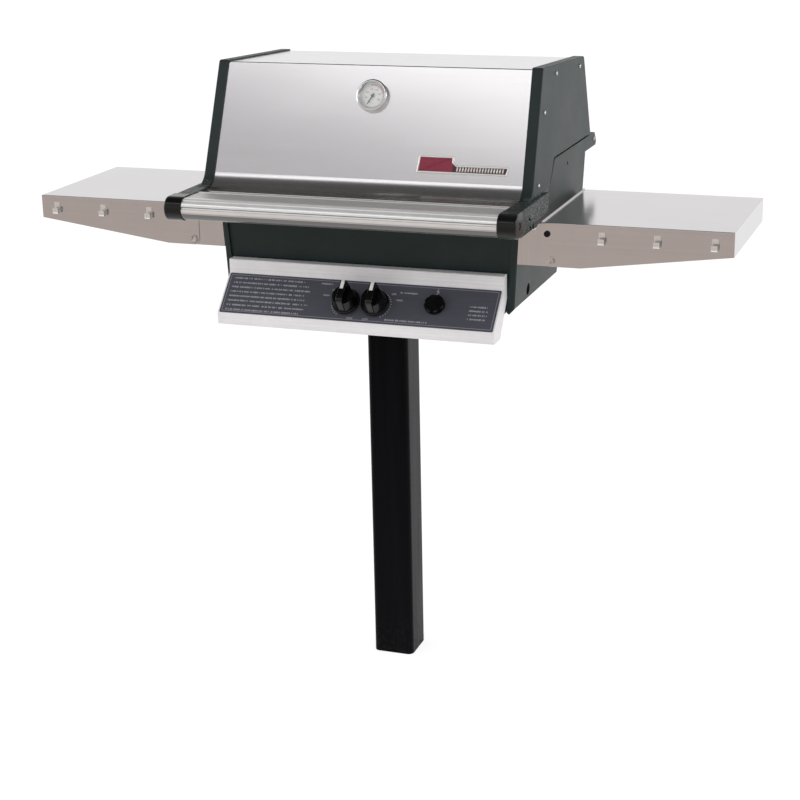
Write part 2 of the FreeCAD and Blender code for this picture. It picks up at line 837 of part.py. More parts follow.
def firebox_front_panel():
    """Sheet behind the castings' front flanges, open below for the burners' air and tubes."""
    y0 = casting_wall
    y1 = casting_wall + panel_sheet
    corners = [(-front_panel_half_top, front_rim_rise), (front_panel_half_top, front_rim_rise),
               (front_panel_half_top, -rim_drop), (front_panel_half_low, -front_panel_drop),
               (-front_panel_half_low, -front_panel_drop), (-front_panel_half_top, -rim_drop)]
    sheet = prism("xz", corners, y0, y1)
    hem = block(-front_panel_half_top, front_panel_half_top, y1, y1 + 10.0,
                front_rim_rise - panel_sheet, front_rim_rise)
    ledge_top = ledge_thick - rim_drop
    rest = block(-flange_half_top, flange_half_top, y1, y1 + grid_rest_width,
                 ledge_top - grid_rest_thick, ledge_top)
    vent = block(vent_left_x, vent_right_x, y0 - 1, y1 + 1, -front_panel_drop - 1, vent_top_z)
    lead = rod(Vector(electrode_x, y0 - 1, electrode_z), Vector(electrode_x, y1 + 1, electrode_z),
               ceramic_radius)
    return fused([sheet, hem, rest]).cut(vent.fuse(lead))


def firebox_rear_panel():
    """Bent sheet inside the castings' rear flanges, with a rest for the cooking grids."""
    inner = shifted(rear_path, casting_wall)
    low = inner[-1]
    above = inner[-2]
    share = (floor_rear_z - 4.0 - low[1]) / (above[1] - low[1])
    foot = (low[0] + (above[0] - low[0]) * share, floor_rear_z - 4.0)
    path = [(inner[0][0], rear_panel_top_z), inner[1], inner[2], foot]
    sheet = prism("yz", sheet_loop([with_radius(p) for p in path], panel_sheet),
                  -flange_half_top + 5.0, flange_half_top - 5.0)
    ledge_top = ledge_thick - rim_drop
    share = (ledge_top - inner[2][1]) / (inner[1][1] - inner[2][1])
    rest_y = inner[2][0] + (inner[1][0] - inner[2][0]) * share - panel_sheet
    rest = block(-flange_half_top + 5.0, flange_half_top - 5.0, rest_y - grid_rest_width, rest_y + 0.5,
                 ledge_top - grid_rest_thick, ledge_top)
    return fused([sheet, rest])


def firebox_floor():
    """Sheet that falls to the rear, notched for the burner tubes, with a drain spout."""
    path = [(floor_front_y, floor_front_z), (floor_rear_y, floor_rear_z)]
    sheet = prism("yz", sheet_loop(path, floor_sheet), -floor_half, floor_half)
    notch = block(vent_left_x, vent_right_x, floor_front_y - 1, floor_notch_y,
                  floor_rear_z, floor_front_z + 1)
    top = floor_z(spout_y)
    spout = rod(Vector(0, spout_y, top - spout_length), Vector(0, spout_y, top - floor_sheet / 2),
                spout_radius)
    drain = rod(Vector(0, spout_y, top - spout_length - 1), Vector(0, spout_y, top + 2),
                spout_radius - floor_sheet)
    return fused([sheet, spout]).cut(notch.fuse(drain))


def grease_tray():
    """Open tray whose side flanges slide in the rails."""
    top = plate_low_z - tray_top_gap
    low = top - tray_drop
    outer = block(-tray_half, tray_half, tray_front_y, tray_rear_y, low, top)
    flange = block(-tray_half - tray_flange, tray_half + tray_flange, tray_front_y, tray_rear_y,
                   top - tray_wall, top)
    pull = block(-tray_half / 2, tray_half / 2, tray_rear_y, tray_rear_y + 12.0, top - tray_wall, top)
    turn_down = block(-tray_half / 2, tray_half / 2, tray_rear_y + 12.0 - tray_wall, tray_rear_y + 12.0,
                      top - 12.0, top)
    hollow = block(-tray_half + tray_wall, tray_half - tray_wall, tray_front_y + tray_wall,
                   tray_rear_y - tray_wall, low + tray_wall, top + 1)
    return fused([outer, flange, pull, turn_down]).cut(hollow)


# Control panel, valves and igniter

def control_panel():
    """Bent stainless sheet with closed ends and two fixing tabs turned inwards."""
    foot_y = face_y - panel_slope
    foot_z = face_z - panel_slope
    path = [(foot_y + panel_return, foot_z - panel_lip), (foot_y, foot_z - panel_lip, 2.5),
            (foot_y, foot_z, 2.5), (face_y, face_z, 2.5), (face_y, panel_top_z, 2.5),
            (-control_sheet - skin_gap, panel_top_z)]
    skin = prism("yz", sheet_loop(path, control_sheet), -panel_half, panel_half)
    end_loop = [(-skin_gap, panel_top_z), (face_y, panel_top_z, 2.5), (face_y, face_z, 2.5),
                (foot_y, foot_z, 2.5), (foot_y, foot_z - panel_lip, 2.5),
                (foot_y + 42.0, foot_z - panel_lip), (-skin_gap, face_z - 20.0)]
    pieces = [skin]
    for side in (-1, 1):
        ends = sorted([side * panel_half, side * (panel_half - control_sheet)])
        pieces.append(prism("yz", end_loop, ends[0], ends[1]))
        tab = sorted([side * (panel_half - control_sheet / 2), side * (panel_half - panel_tab)])
        pieces.append(block(tab[0], tab[1], -skin_gap - control_sheet, -skin_gap,
                            face_z - 20.0, panel_top_z - 4.0))
    body = fused(pieces)
    holes = [at_control(rod(Vector(0, 0, -5), Vector(0, 0, 5), spindle_radius + 2.0), x)
             for x in (left_valve_x, right_valve_x)]
    holes.append(at_control(rod(Vector(0, 0, -5), Vector(0, 0, 5), igniter_neck_radius), igniter_x))
    return body.cut(Part.makeCompound(holes))


def control_panel_label():
    """Thin plate over the sloping face."""
    slope = panel_slope / slope_cos
    plate = prism("xy", ring_loop(-label_half, label_half, -slope + label_margin, -label_margin, 3.0),
                  0.0, label_thick)
    plate = turned(plate, label_angle, Vector(0, face_y, face_z))
    holes = [at_control(rod(Vector(0, 0, -5), Vector(0, 0, 5), spindle_radius + 2.0), x)
             for x in (left_valve_x, right_valve_x)]
    holes.append(at_control(rod(Vector(0, 0, -5), Vector(0, 0, 5), igniter_neck_radius), igniter_x))
    return plate.cut(Part.makeCompound(holes))


def valve_body(x):
    """Angle valve: plug bore, spring chamber, inlet into the manifold and orifice towards the burner."""
    main = rod(Vector(0, 0, valve_floor), Vector(0, 0, valve_shoulder), valve_radius)
    boss = rod(Vector(0, 0, valve_shoulder), Vector(0, 0, valve_front), valve_boss_radius)
    inlet_end = manifold_depth + manifold_radius - manifold_wall / 2
    inlet = rod(Vector(0, 0, inlet_end), Vector(0, 0, valve_floor), valve_inlet_radius)
    outlet = rod(Vector(0, 0, valve_outlet_depth), Vector(0, valve_outlet_reach, valve_outlet_depth),
                 valve_outlet_radius)
    tip = rod(Vector(0, valve_outlet_reach, valve_outlet_depth), Vector(0, orifice_reach, valve_outlet_depth),
              orifice_radius)
    body = fused([main, boss, inlet, outlet, tip])
    bore = plug_radius + running_fit
    cuts = [rod(Vector(0, 0, plug_bottom - 0.5), Vector(0, 0, plug_top + 0.6), bore),
            rod(Vector(0, 0, plug_top - 0.5), Vector(0, 0, chamber_top), chamber_radius),
            rod(Vector(0, 0, chamber_top - 1), Vector(0, 0, valve_front + 1), spindle_radius + running_fit),
            rod(Vector(0, 0, inlet_end - 1), Vector(0, 0, plug_bottom), 2.5),
            rod(Vector(0, 0, valve_outlet_depth), Vector(0, orifice_reach - 4, valve_outlet_depth), 2.5),
            rod(Vector(0, 0, valve_outlet_depth), Vector(0, orifice_reach + 1, valve_outlet_depth), 0.8)]
    return at_control(body.cut(fused(cuts)), x)


def valve_plug(x):
    """Plug that turns in the valve's bore, slotted for the spindle's tongue."""
    plug = rod(Vector(0, 0, plug_bottom), Vector(0, 0, plug_top), plug_radius)
    play = 0.15
    slot = block(-tongue_width / 2 - play, tongue_width / 2 + play, -tongue_thick / 2 - play,
                 tongue_thick / 2 + play, tongue_bottom - push_travel - 1.0, plug_top + 1)
    return at_control(plug.cut(slot), x)


def valve_spring(x):
    """Coil between the plug and the spindle's collar."""
    low = plug_top + spring_wire + 0.1
    height = collar_bottom - spring_wire - 0.3 - low
    helix = Part.makeHelix(height / spring_turns, height, spring_radius)
    circle = Part.Wire(Part.makeCircle(spring_wire, Vector(spring_radius, 0, 0), Vector(0, 1, 0)))
    coil = Part.Wire(helix.Edges).makePipeShell([circle], True, True)
    coil.translate(Vector(0, 0, low))
    return at_control(coil, x)


def valve_spindle(x):
    """Spindle with its collar and the tongue that turns the plug."""
    stem = rod(Vector(0, 0, collar_bottom), Vector(0, 0, spindle_top), spindle_radius)
    collar = rod(Vector(0, 0, collar_bottom), Vector(0, 0, collar_bottom + collar_thick), collar_radius)
    tongue = block(-tongue_width / 2, tongue_width / 2, -tongue_thick / 2, tongue_thick / 2,
                   tongue_bottom, collar_bottom)
    return at_control(fused([stem, collar, tongue]), x)


def burner_knob(x):
    """Round skirt, sloping body and a raised grip bar that points up the slope when off."""
    low = knob_gap
    skirt = rod(Vector(0, 0, low), Vector(0, 0, low + knob_skirt), knob_radius)
    skirt = skirt.makeFillet(1.5, [e for e in skirt.Edges if e.BoundBox.ZMin > low + knob_skirt - 0.01])
    cone = Part.makeCone(knob_radius - 2.5, knob_cone_radius, knob_cone, Vector(0, 0, low + knob_skirt))
    half = knob_bar_width / 2
    bar_side = [(-knob_radius + 1.5, low + knob_skirt - 1), (-knob_radius + 7.0, knob_height, 8.0),
                (knob_radius - 1.5, knob_height, 4.0), (knob_radius - 1.5, low + knob_skirt - 1)]
    bar = prism("yz", bar_side, -half, half)
    bar = bar.makeFillet(2.0, [e for e in bar.Edges if e.BoundBox.ZMin > low + knob_skirt])
    bore = rod(Vector(0, 0, low - 1), Vector(0, 0, spindle_top), spindle_radius)
    return at_control(fused([skirt, cone, bar]).cut(bore), x)


def igniter_body():
    """Spark generator behind the panel, its neck through the panel and its terminal to the right."""
    can = rod(Vector(0, 0, -igniter_body_depth), Vector(0, 0, -control_sheet - 0.4), igniter_body_radius)
    neck = rod(Vector(0, 0, -control_sheet - 0.5), Vector(0, 0, igniter_knob_gap - 0.4), igniter_neck_radius)
    terminal = rod(Vector(0, 0, igniter_terminal_depth),
                   Vector(igniter_terminal_reach, 0, igniter_terminal_depth), 3.0)
    bore = rod(Vector(0, 0, -20), Vector(0, 0, 5), igniter_spindle_radius + running_fit)
    return at_control(fused([can, neck, terminal]).cut(bore), igniter_x)


def igniter_knob():
    """Fluted knob with its own spindle."""
    low = igniter_knob_gap
    high = low + igniter_knob_height
    knob = rod(Vector(0, 0, low), Vector(0, 0, high), igniter_knob_radius)
    knob = knob.makeFillet(2.5, [e for e in knob.Edges if e.BoundBox.ZMin > high - 0.01])
    flutes = []
    for i in range(igniter_flutes):
        angle = 2 * math.pi * i / igniter_flutes
        x = (igniter_knob_radius + igniter_flute_out) * math.cos(angle)
        y = (igniter_knob_radius + igniter_flute_out) * math.sin(angle)
        flutes.append(rod(Vector(x, y, low + 3.0), Vector(x, y, high + 1), igniter_flute_radius))
    knob = knob.cut(Part.makeCompound(flutes))
    spindle = rod(Vector(0, 0, -18), Vector(0, 0, low + 1), igniter_spindle_radius)
    return at_control(knob.fuse(spindle), igniter_x)


def igniter_lead():
    """Insulated lead from the igniter's terminal to the electrode's tail."""
    start = control_place(igniter_x) + Vector(0, -slope_sin, slope_cos) * igniter_terminal_depth
    start = start + Vector(igniter_terminal_reach, 0, 0)
    tail = Vector(electrode_x, electrode_tail_y, electrode_z)
    points = [start, start + Vector(16.0, 0.0, 0.0), tail - Vector(0, 8.5, 0), tail]
    return bent_tube(points, lead_radius)


def igniter_electrode():
    """Ceramic through the firebox's front with the spark rod beside the burner."""
    ceramic = rod(Vector(electrode_x, electrode_tail_y, electrode_z), Vector(electrode_x, 44.0, electrode_z),
                  ceramic_radius)
    collar = rod(Vector(electrode_x, casting_wall + panel_sheet, electrode_z),
                 Vector(electrode_x, casting_wall + panel_sheet + 4.0, electrode_z), ceramic_radius + 3.0)
    wire = bent_tube([Vector(electrode_x, 40.0, electrode_z), Vector(electrode_x, 53.0, electrode_z),
                      Vector(electrode_x, 53.0, burner_low_z + burner_height + 4.0)],
                     electrode_rod_radius, 4.0)
    return fused([ceramic, collar, wire])


def gas_manifold():
    """Tube under the valves with their two seats, closed ends and the inlet boss at the back."""
    centre = control_place(0.0) + Vector(0, -slope_sin, slope_cos) * manifold_depth
    axis_y = centre.y
    axis_z = centre.z
    tube = rod(Vector(manifold_left_x, axis_y, axis_z), Vector(manifold_right_x, axis_y, axis_z),
               manifold_radius)
    boss = rod(Vector(manifold_inlet_x, axis_y, axis_z),
               Vector(manifold_inlet_x, axis_y + manifold_boss_length, axis_z), manifold_boss_radius)
    body = fused([tube, boss])
    hollow = rod(Vector(manifold_left_x + 3, axis_y, axis_z), Vector(manifold_right_x - 3, axis_y, axis_z),
                 manifold_radius - manifold_wall)
    inlet = rod(Vector(manifold_inlet_x, axis_y, axis_z),
                Vector(manifold_inlet_x, axis_y + manifold_boss_length + 1, axis_z), feed_radius - 1.0)
    seats = [at_control(rod(Vector(0, 0, manifold_depth), Vector(0, 0, valve_floor), valve_inlet_radius), x)
             for x in (left_valve_x, right_valve_x)]
    return body.cut(fused([hollow, inlet])).cut(Part.makeCompound(seats))


# Burners and cooking surface

def burner(x0, valve_x):
    """Hollow ring burner with its ports, legs and the mixing tube that comes up from the valve."""
    x1 = x0 + burner_width
    y0 = burner_front_y
    y1 = y0 + burner_depth
    low = burner_low_z
    high = low + burner_height
    w = burner_tube_width
    corner = burner_corner
    inner_corner = 8.0

    def ring(grow, z0, z1):
        outer = prism("xy", ring_loop(x0 - grow, x1 + grow, y0 - grow, y1 + grow, corner + grow), z0, z1)
        inner = prism("xy", ring_loop(x0 + w + grow, x1 - w - grow, y0 + w + grow, y1 - w - grow,
                                      inner_corner), z0 - 1, z1 + 1)
        return outer.cut(inner)

    # The hollow's outer edge is pulled in by one wall and its inner edge pushed out by one.
    def hollow_ring():
        t = burner_wall
        outer = prism("xy", ring_loop(x0 + t, x1 - t, y0 + t, y1 - t, corner - t), low + t, high - t)
        inner = prism("xy", ring_loop(x0 + w - t, x1 - w + t, y0 + w - t, y1 - w + t, inner_corner + t),
                      low, high)
        return outer.cut(inner)

    place = control_place(valve_x) + Vector(0, -slope_sin, slope_cos) * valve_outlet_depth
    along = Vector(0, slope_cos, slope_sin)
    mouth = place + along * (orifice_reach - 6.0)
    middle_z = low + burner_height / 2
    knee = mouth + along * ((middle_z - mouth.z) / slope_sin)
    inside = Vector(valve_x, y0 + w / 2, middle_z)
    tube = bent_tube([mouth, knee, inside], venturi_radius, venturi_bend)
    bore = bent_tube([mouth - along, knee, inside + Vector(0, 1, 0)], venturi_radius - 1.0, venturi_bend)
    bell = Part.makeCone(bell_radius, venturi_radius, bell_length, mouth, along)
    bell_bore = Part.makeCone(bell_radius - 1.0, venturi_radius - 1.0, bell_length, mouth, along)
    legs = []
    under = prism("yz", [(floor_front_y, floor_front_z), (floor_rear_y, floor_rear_z),
                         (floor_rear_y, floor_rear_z - 60), (floor_front_y, floor_rear_z - 60)],
                  -rim_half, rim_half)
    for x in (x0 + w / 2, x1 - w / 2):
        leg = rod(Vector(x, y1 - w / 2, floor_rear_z - 5), Vector(x, y1 - w / 2, low + 0.1), 4.0)
        legs.append(leg.cut(under))
    body = fused([ring(0.0, low, high), tube, bell] + legs)
    body = body.cut(fused([hollow_ring(), bore, bell_bore]))
    ports = []
    count = int((burner_width - 2 * corner) / port_pitch)
    for i in range(count + 1):
        x = x0 + corner + i * (burner_width - 2 * corner) / count
        for y in (y0 + 8.0, y1 - 8.0):
            ports.append(rod(Vector(x, y, high - 3), Vector(x, y, high + 1), port_radius))
    return body.cut(Part.makeCompound(ports))


def briquette_grate():
    """Welded rods that lie on the castings' ribs."""
    low = grate_rib_z + grate_rib_thick + grate_rod_radius
    rods = []
    count = int((grate_rear_y - grate_front_y) / grate_pitch)
    for i in range(count + 1):
        y = grate_front_y + i * (grate_rear_y - grate_front_y) / count
        rods.append(rod(Vector(-grate_half, y, low), Vector(grate_half, y, low), grate_rod_radius))
    for share in (-0.9, -0.35, 0.35, 0.9):
        x = grate_half * share
        rods.append(rod(Vector(x, grate_front_y - 3, low - 1), Vector(x, grate_rear_y + 3, low - 1),
                        grate_rod_radius - 0.5))
    return fused(rods)


def ceramic_briquettes():
    """Pyramid-topped ceramic blocks in rows on the grate."""
    low = grate_rib_z + grate_rib_thick + 2 * grate_rod_radius
    blocks = []
    middle_y = (grate_front_y + grate_rear_y) / 2
    for row in range(briquette_rows):
        for column in range(briquette_columns):
            x = (column - (briquette_columns - 1) / 2) * briquette_pitch
            y = middle_y + (row - (briquette_rows - 1) / 2) * briquette_pitch
            wires = []
            for share, lift in ((0.82, 0.0), (1.0, 0.35), (0.45, 1.0)):
                half = briquette_side / 2 * share
                z = low + briquette_height * lift
                points = [Vector(x - half, y - half, z), Vector(x + half, y - half, z),
                          Vector(x + half, y + half, z), Vector(x - half, y + half, z)]
                wires.append(Part.makePolygon(points + points[:1]))
            blocks.append(Part.makeLoft(wires, True, True))
    return Part.makeCompound(blocks)


def cooking_grid():
    """Right-hand grid: a round-bar frame with rods from front to back."""
    low = ledge_thick - rim_drop + grid_frame_radius
    x0 = grid_middle_gap / 2 + grid_frame_radius
    x1 = grid_half - grid_frame_radius
    y0 = grid_front_y + grid_frame_radius
    y1 = grid_rear_y - grid_frame_radius
    corners = [Vector(x0, y0, low), Vector(x1, y0, low), Vector(x1, y1, low), Vector(x0, y1, low)]
    pieces = []
    for i in range(4):
        pieces.append(rod(corners[i], corners[(i + 1) % 4], grid_frame_radius))
        pieces.append(Part.makeSphere(grid_frame_radius, corners[i]))
    count = int((x1 - x0) / grid_pitch)
    for i in range(1, count):
        x = x0 + i * (x1 - x0) / count
        pieces.append(rod(Vector(x, y0, low), Vector(x, y1, low), grid_rod_radius))
    for share in (1.0 / 3.0, 2.0 / 3.0):
        y = y0 + (y1 - y0) * share
        pieces.append(rod(Vector(x0, y, low - 1), Vector(x1, y, low - 1), grid_rod_radius - 0.5))
    return fused(pieces)


def warming_rack():
    """Wire shelf that hooks over the firebox's rear panel."""
    r = rack_rod_radius
    pieces = []
    for y in (rack_front_y, rack_rear_y):
        pieces.append(rod(Vector(-rack_half, y, rack_z), Vector(rack_half, y, rack_z), r))
    for x in (-rack_half, rack_half):
        pieces.append(rod(Vector(x, rack_front_y, rack_z), Vector(x, rack_rear_y, rack_z), r))
    for x in (-rack_half, rack_half):
        for y in (rack_front_y, rack_rear_y):
            pieces.append(Part.makeSphere(r, Vector(x, y, rack_z)))
    count = int((rack_rear_y - rack_front_y) / rack_pitch)
    for i in range(1, count):
        y = rack_front_y + i * (rack_rear_y - rack_front_y) / count
        pieces.append(rod(Vector(-rack_half, y, rack_z), Vector(rack_half, y, rack_z), r - 0.7))
    panel_outer = box_depth_top - casting_wall
    hook_y = panel_outer + r + 0.2
    lean = (box_depth_top - box_depth_rim) / (box_bend_rise + rim_drop)
    brace_y = panel_outer - panel_sheet - lean * (box_bend_rise - rack_brace_z) - r - 0.5
    for x in (-rack_hook_x, rack_hook_x):
        hook = bent_tube([Vector(x, rack_front_y, rack_z), Vector(x, hook_y, rack_z),
                          Vector(x, hook_y, rear_panel_top_z - 12.0)], r, 5.0)
        pieces.append(hook)
        rest = Vector(x, brace_y, rack_brace_z)
        pieces += [rod(Vector(x, rack_front_y + 15, rack_z), rest, r), Part.makeSphere(r, rest)]
    return fused(pieces)


# Hood

def hood_end_block(outline_corners):
    """Leaning block of the end casting, its outer edge rounded all along the hood's outline."""
    body = prism("yz", outline_corners, rim_half - 60.0, rim_half + 10.0).common(end_band(rim_width, 0.0))
    edges = []
    for edge in body.Edges:
        middle = edge.CenterOfMass
        on_side = all(abs(v.X - hood_half(v.Z)) < 0.01 for v in edge.Vertexes)
        on_step = middle.z < rear_rim_rise + parting_gap + 0.5 and middle.y > rim_step_front - 8.0
        if on_side and not on_step and middle.z > front_rim_rise + parting_gap + 0.5 and edge.Length > 1.0:
            edges.append(edge)
    return body.makeFillet(rim_edge, edges)


def hinge_ear():
    """Cranked ear from the hood's rear corner back to the pin, with the spacer that carries it."""
    low = rear_rim_rise + parting_gap + 1.0
    high = low + 26.0
    root = box_depth_top - 10.0
    ear = prism("yz", [(root, low), (root, high, 4.0), (rear_low_y - 20.0, high, 4.0),
                       (rear_low_y - 11.0, low + 3.5, 4.0), (pin_y + 4.0, pin_rise + 11.0, 6.0),
                       (pin_y + 8.0, pin_rise - 8.0, 6.0), (pin_y - 10.0, pin_rise - 11.0, 6.0),
                       (rear_low_y - 10.0, pin_rise + 5.0, 8.0), (box_depth_top + 10.0, low)],
                ear_inner, ear_outer)
    boss = rod(Vector(ear_inner, pin_y, pin_rise), Vector(ear_outer, pin_y, pin_rise), ear_round)
    spacer = prism("yz", [(root, low), (root, high, 4.0), (rear_low_y - 20.0, high, 4.0),
                          (rear_low_y - 17.0, low + 6.0, 3.0), (rear_low_y - 20.0, low)],
                   ear_inner, rim_half - 2.0)
    return fused([ear, boss, spacer])


def handle_arm():
    """Hollow block that carries the grip's end and the bar that joins it to the casting's side."""
    arm = block(arm_inner, arm_outer, arm_front_y, arm_rear_y, arm_low, arm_top)
    arm = arm.makeFillet(3.0, [e for e in arm.Edges if e.BoundBox.XMin > arm_outer - 0.01
                               and e.BoundBox.YLength > 10.0])
    pocket = block(arm_inner + arm_wall, arm_outer - arm_wall, arm_front_y + arm_wall, arm_rear_y - arm_wall,
                   arm_low - 1, arm_top - arm_wall)
    slots = [rod(Vector(arm_outer - arm_wall - 1, y, z), Vector(arm_outer + 1, y, z), 3.0)
             for y, z in ((-72.0, 22.0), (-67.0, 19.5), (-62.0, 17.0), (-64.0, 4.0), (-59.0, 1.5))]
    tail_inner = rim_half + bar_inner_gap
    tail = prism("yz", [(arm_rear_y - 1.0, arm_top), (bar_tail_y, arm_top, 4.0),
                        (bar_tail_y - 14.0, bar_low + 2.0, 6.0), (arm_rear_y - 1.0, bar_low)],
                 tail_inner, arm_outer)
    tail = tail.makeFillet(3.0, [e for e in tail.Edges if e.BoundBox.XMin > arm_outer - 0.01
                                 and e.BoundBox.YLength > 60.0 and e.BoundBox.ZMin > arm_top - 0.01])
    web = block(rim_half - hood_plate + 1.0, tail_inner + 1.0, arm_rear_y - 1.0, bar_tail_y - 8.0,
                front_rim_rise + parting_gap + 1.0, arm_top - 0.5)
    return fused([arm.cut(pocket), tail, web]).cut(fused(slots))


def hood_end():
    """Right-hand end casting: side plate, proud rim, inner flange, hinge ear and handle arm."""
    below = [(rim_step_rear - parting_gap / 2, rear_rim_rise + parting_gap, 4.0),
             (rim_step_front - parting_gap / 2, front_rim_rise + parting_gap, 4.0),
             (ledge_front_y, front_rim_rise + parting_gap)]
    whole = hood_end_block([with_radius(p) for p in hood_path] + below)
    wide = (rim_half - 60.0, rim_half + 10.0)
    plate = whole.common(end_band(hood_plate, 0.0))
    rim = whole.common(prism("yz", sheet_loop(hood_path, rim_proud), wide[0], wide[1]))
    inside = shifted(hood_path, rim_proud + hood_sheet + skin_gap)
    start_y = lip_y + flange_setback
    share = (start_y - inside[0][0]) / (inside[1][0] - inside[0][0])
    start = (start_y, inside[0][1] + (inside[1][1] - inside[0][1]) * share)
    flange = prism("yz", sheet_loop([start] + inside[1:], flange_thick), wide[0], wide[1])
    flange = flange.common(end_band(rim_width - 6.0, hood_plate - 1.0)).common(whole)
    body = fused([plate, rim, flange, handle_arm(), hinge_ear()])
    pin_hole = rod(Vector(ear_inner - 5, pin_y, pin_rise), Vector(ear_outer + 5, pin_y, pin_rise),
                   pin_radius + pin_clear)
    return body.cut(Part.makeCompound([pin_hole] + hood_screw_shanks()))


def hood_front_skin():
    """Front sheet: a lip, the ledge, the hollow bend and the leaning face."""
    share = (lip_y - skin_path[0][0]) / (skin_path[1][0] - skin_path[0][0])
    lip_z = skin_path[0][1] + (skin_path[1][1] - skin_path[0][1]) * share
    top = skin_path[2]
    low = skin_path[1]
    way = unit(top[0] - low[0], top[1] - low[1])
    edge = (top[0] - way[0] * seam_width, top[1] - way[1] * seam_width)
    skin = between_ends([(lip_y, lip_z - lip_drop), (lip_y, lip_z, 4.0), low, edge])
    stem = on_front(rod(Vector(0, 0, -5), Vector(0, 0, 5), gauge_stem_radius), 0.0, gauge_rise)
    return skin.cut(stem)


def hood_top_skin():
    """Top sheet: a turned-down edge behind the front sheet, the top and the sloping back."""
    top = skin_path[2]
    low = skin_path[1]
    way = unit(top[0] - low[0], top[1] - low[1])
    rear = skin_path[3]
    along = unit(rear[0] - top[0], rear[1] - top[1])
    back = (hood_sheet + skin_gap) / abs(way[0] * along[1] - way[1] * along[0])
    corner = (top[0] + along[0] * back, top[1] + along[1] * back)
    edge = (corner[0] - way[0] * 14.0, corner[1] - way[1] * 14.0)
    end = skin_path[4]
    up = unit(rear[0] - end[0], rear[1] - end[1])
    foot = (end[0] + up[0] * rear_skin_lift, end[1] + up[1] * rear_skin_lift)
    skin = between_ends([edge, (corner[0], corner[1], 2.5), rear, foot])
    flange_half = hood_half_top - rim_width + 5.0
    notches = [block(x0, x0 + 30.0, edge[0] - 5.0, corner[0] + 8.0, edge[1] - 5.0,
                     corner[1] - hood_sheet - 0.15) for x0 in (flange_half, -flange_half - 30.0)]
    return skin.cut(Part.makeCompound(notches))


def hood_screw_shanks():
    """Shanks of the right-hand screws."""
    return [rod(Vector(hood_half(z) - screw_length, y, z), Vector(hood_half(z) + 0.3, y, z), screw_radius)
            for y, z in hood_screw_places]


def hood_screws():
    """Round-headed screws in both ends."""
    right = []
    for y, z in hood_screw_places:
        seat = hood_half(z) + 0.15
        end = seat + screw_head_height
        head = rod(Vector(seat, y, z), Vector(end, y, z), screw_head_radius)
        head = head.makeFillet(1.2, [e for e in head.Edges if e.BoundBox.XMin > end - 0.01])
        shank = rod(Vector(seat - screw_length, y, z), Vector(seat, y, z), screw_radius)
        right.append(fused([head, shank]))
    return Part.makeCompound(right + [mirrored(s) for s in right])


def handle_grip():
    """Hollow full-width grip with fluted front."""
    half = arm_inner - grip_gap
    outer = prism("yz", grip_loop, -half, half)
    hollow = prism("yz", grip_void(), -half - 1, half + 1)
    nose_y = grip_front_y + grip_nose
    nose_z = grip_top - grip_nose
    flutes = []
    for angle in (52.0, 8.0):
        y = nose_y - (grip_nose + 1.2) * math.cos(math.radians(angle))
        z = nose_z + (grip_nose + 1.2) * math.sin(math.radians(angle))
        flutes.append(rod(Vector(-half - 1, y, z), Vector(half + 1, y, z), flute_radius))
    bead_y = grip_rear_y + 1.5
    bead_z = grip_top - 3.5
    bead = rod(Vector(-half, bead_y, bead_z), Vector(half, bead_y, bead_z), 2.6)
    return fused([outer, bead]).cut(hollow).cut(Part.makeCompound(flutes))


def grip_void():
    """Loop of the space inside the grip."""
    return [(grip_rear_y - 18.0, grip_top - grip_wall - 2.2, 1.5), (grip_rear_y - 18.0, grip_top - 15.0, 1.5),
            (grip_front_y + 30.0, grip_low + grip_wall + 1.0, 10.0),
            (grip_front_y + grip_wall + 2.5, grip_low + grip_wall + 1.0, grip_nose - 5.0),
            (grip_front_y + grip_wall + 2.5, grip_top - grip_wall - 2.2, grip_nose - 5.0)]


def handle_cap():
    """Right-hand rounded end cap with a spigot in the grip and a recess for its screw."""
    back = arm_front_y - skin_gap
    front = grip_front_y - cap_proud
    nose = grip_nose + cap_proud
    loop = [(back, grip_top + cap_proud, 1.0), (back, grip_low - cap_proud, 1.0),
            (front, grip_low - cap_proud, nose), (front, grip_top + cap_proud, nose)]
    body = prism("yz", loop, arm_inner, cap_outer)
    body = body.makeFillet(cap_round, [e for e in body.Edges if e.BoundBox.XMin > cap_outer - 0.01])
    spigot = prism("yz", inset(grip_void(), 0.4), arm_inner - spigot_length, arm_inner + 1.0)
    spigot = spigot.common(block(0.0, rim_half, front, back - 3.0, grip_low, grip_top))
    y = back - 22.0
    z = (grip_top + grip_low) / 2
    recess = rod(Vector(cap_outer - 2.0, y, z), Vector(cap_outer + 1, y, z), 6.5)
    screw = rod(Vector(cap_outer - 3.0, y, z), Vector(cap_outer - 0.8, y, z), 4.5)
    return fused([fused([body, spigot]).cut(recess), screw])


def hood_hinge_pins():
    """Pins through the firebox's lugs and the hood's ears, clipped inside."""
    shank = rod(Vector(ear_inner - 3.0, pin_y, pin_rise), Vector(rim_half, pin_y, pin_rise), pin_radius)
    head = rod(Vector(rim_half, pin_y, pin_rise), Vector(rim_half + 1.0, pin_y, pin_rise), pin_radius)
    clip = rod(Vector(ear_inner - 3.0, pin_y, pin_rise), Vector(ear_inner - 1.0, pin_y, pin_rise),
               pin_radius + 2.0)
    right = fused([shank, head, clip])
    return Part.makeCompound([right, mirrored(right)])


def hood_nameplate():
    """Bare plate: a tall block with a lower bar to its right."""
    low = -plate_low_rise
    corners = [(plate_left_x, 0.0, 3.0), (plate_right_x - 4.0, 0.0, 3.0),
               (plate_right_x, plate_bar_height, 3.0),
               (plate_block_x + 6.0, plate_bar_height), (plate_block_x, plate_bar_height + 5.0),
               (plate_block_x, plate_block_height, 3.0), (plate_left_x + 3.0, plate_block_height, 3.0)]
    plate = prism("xy", corners, 0.0, plate_relief)
    return on_front(plate, 0.0, plate_low_rise)


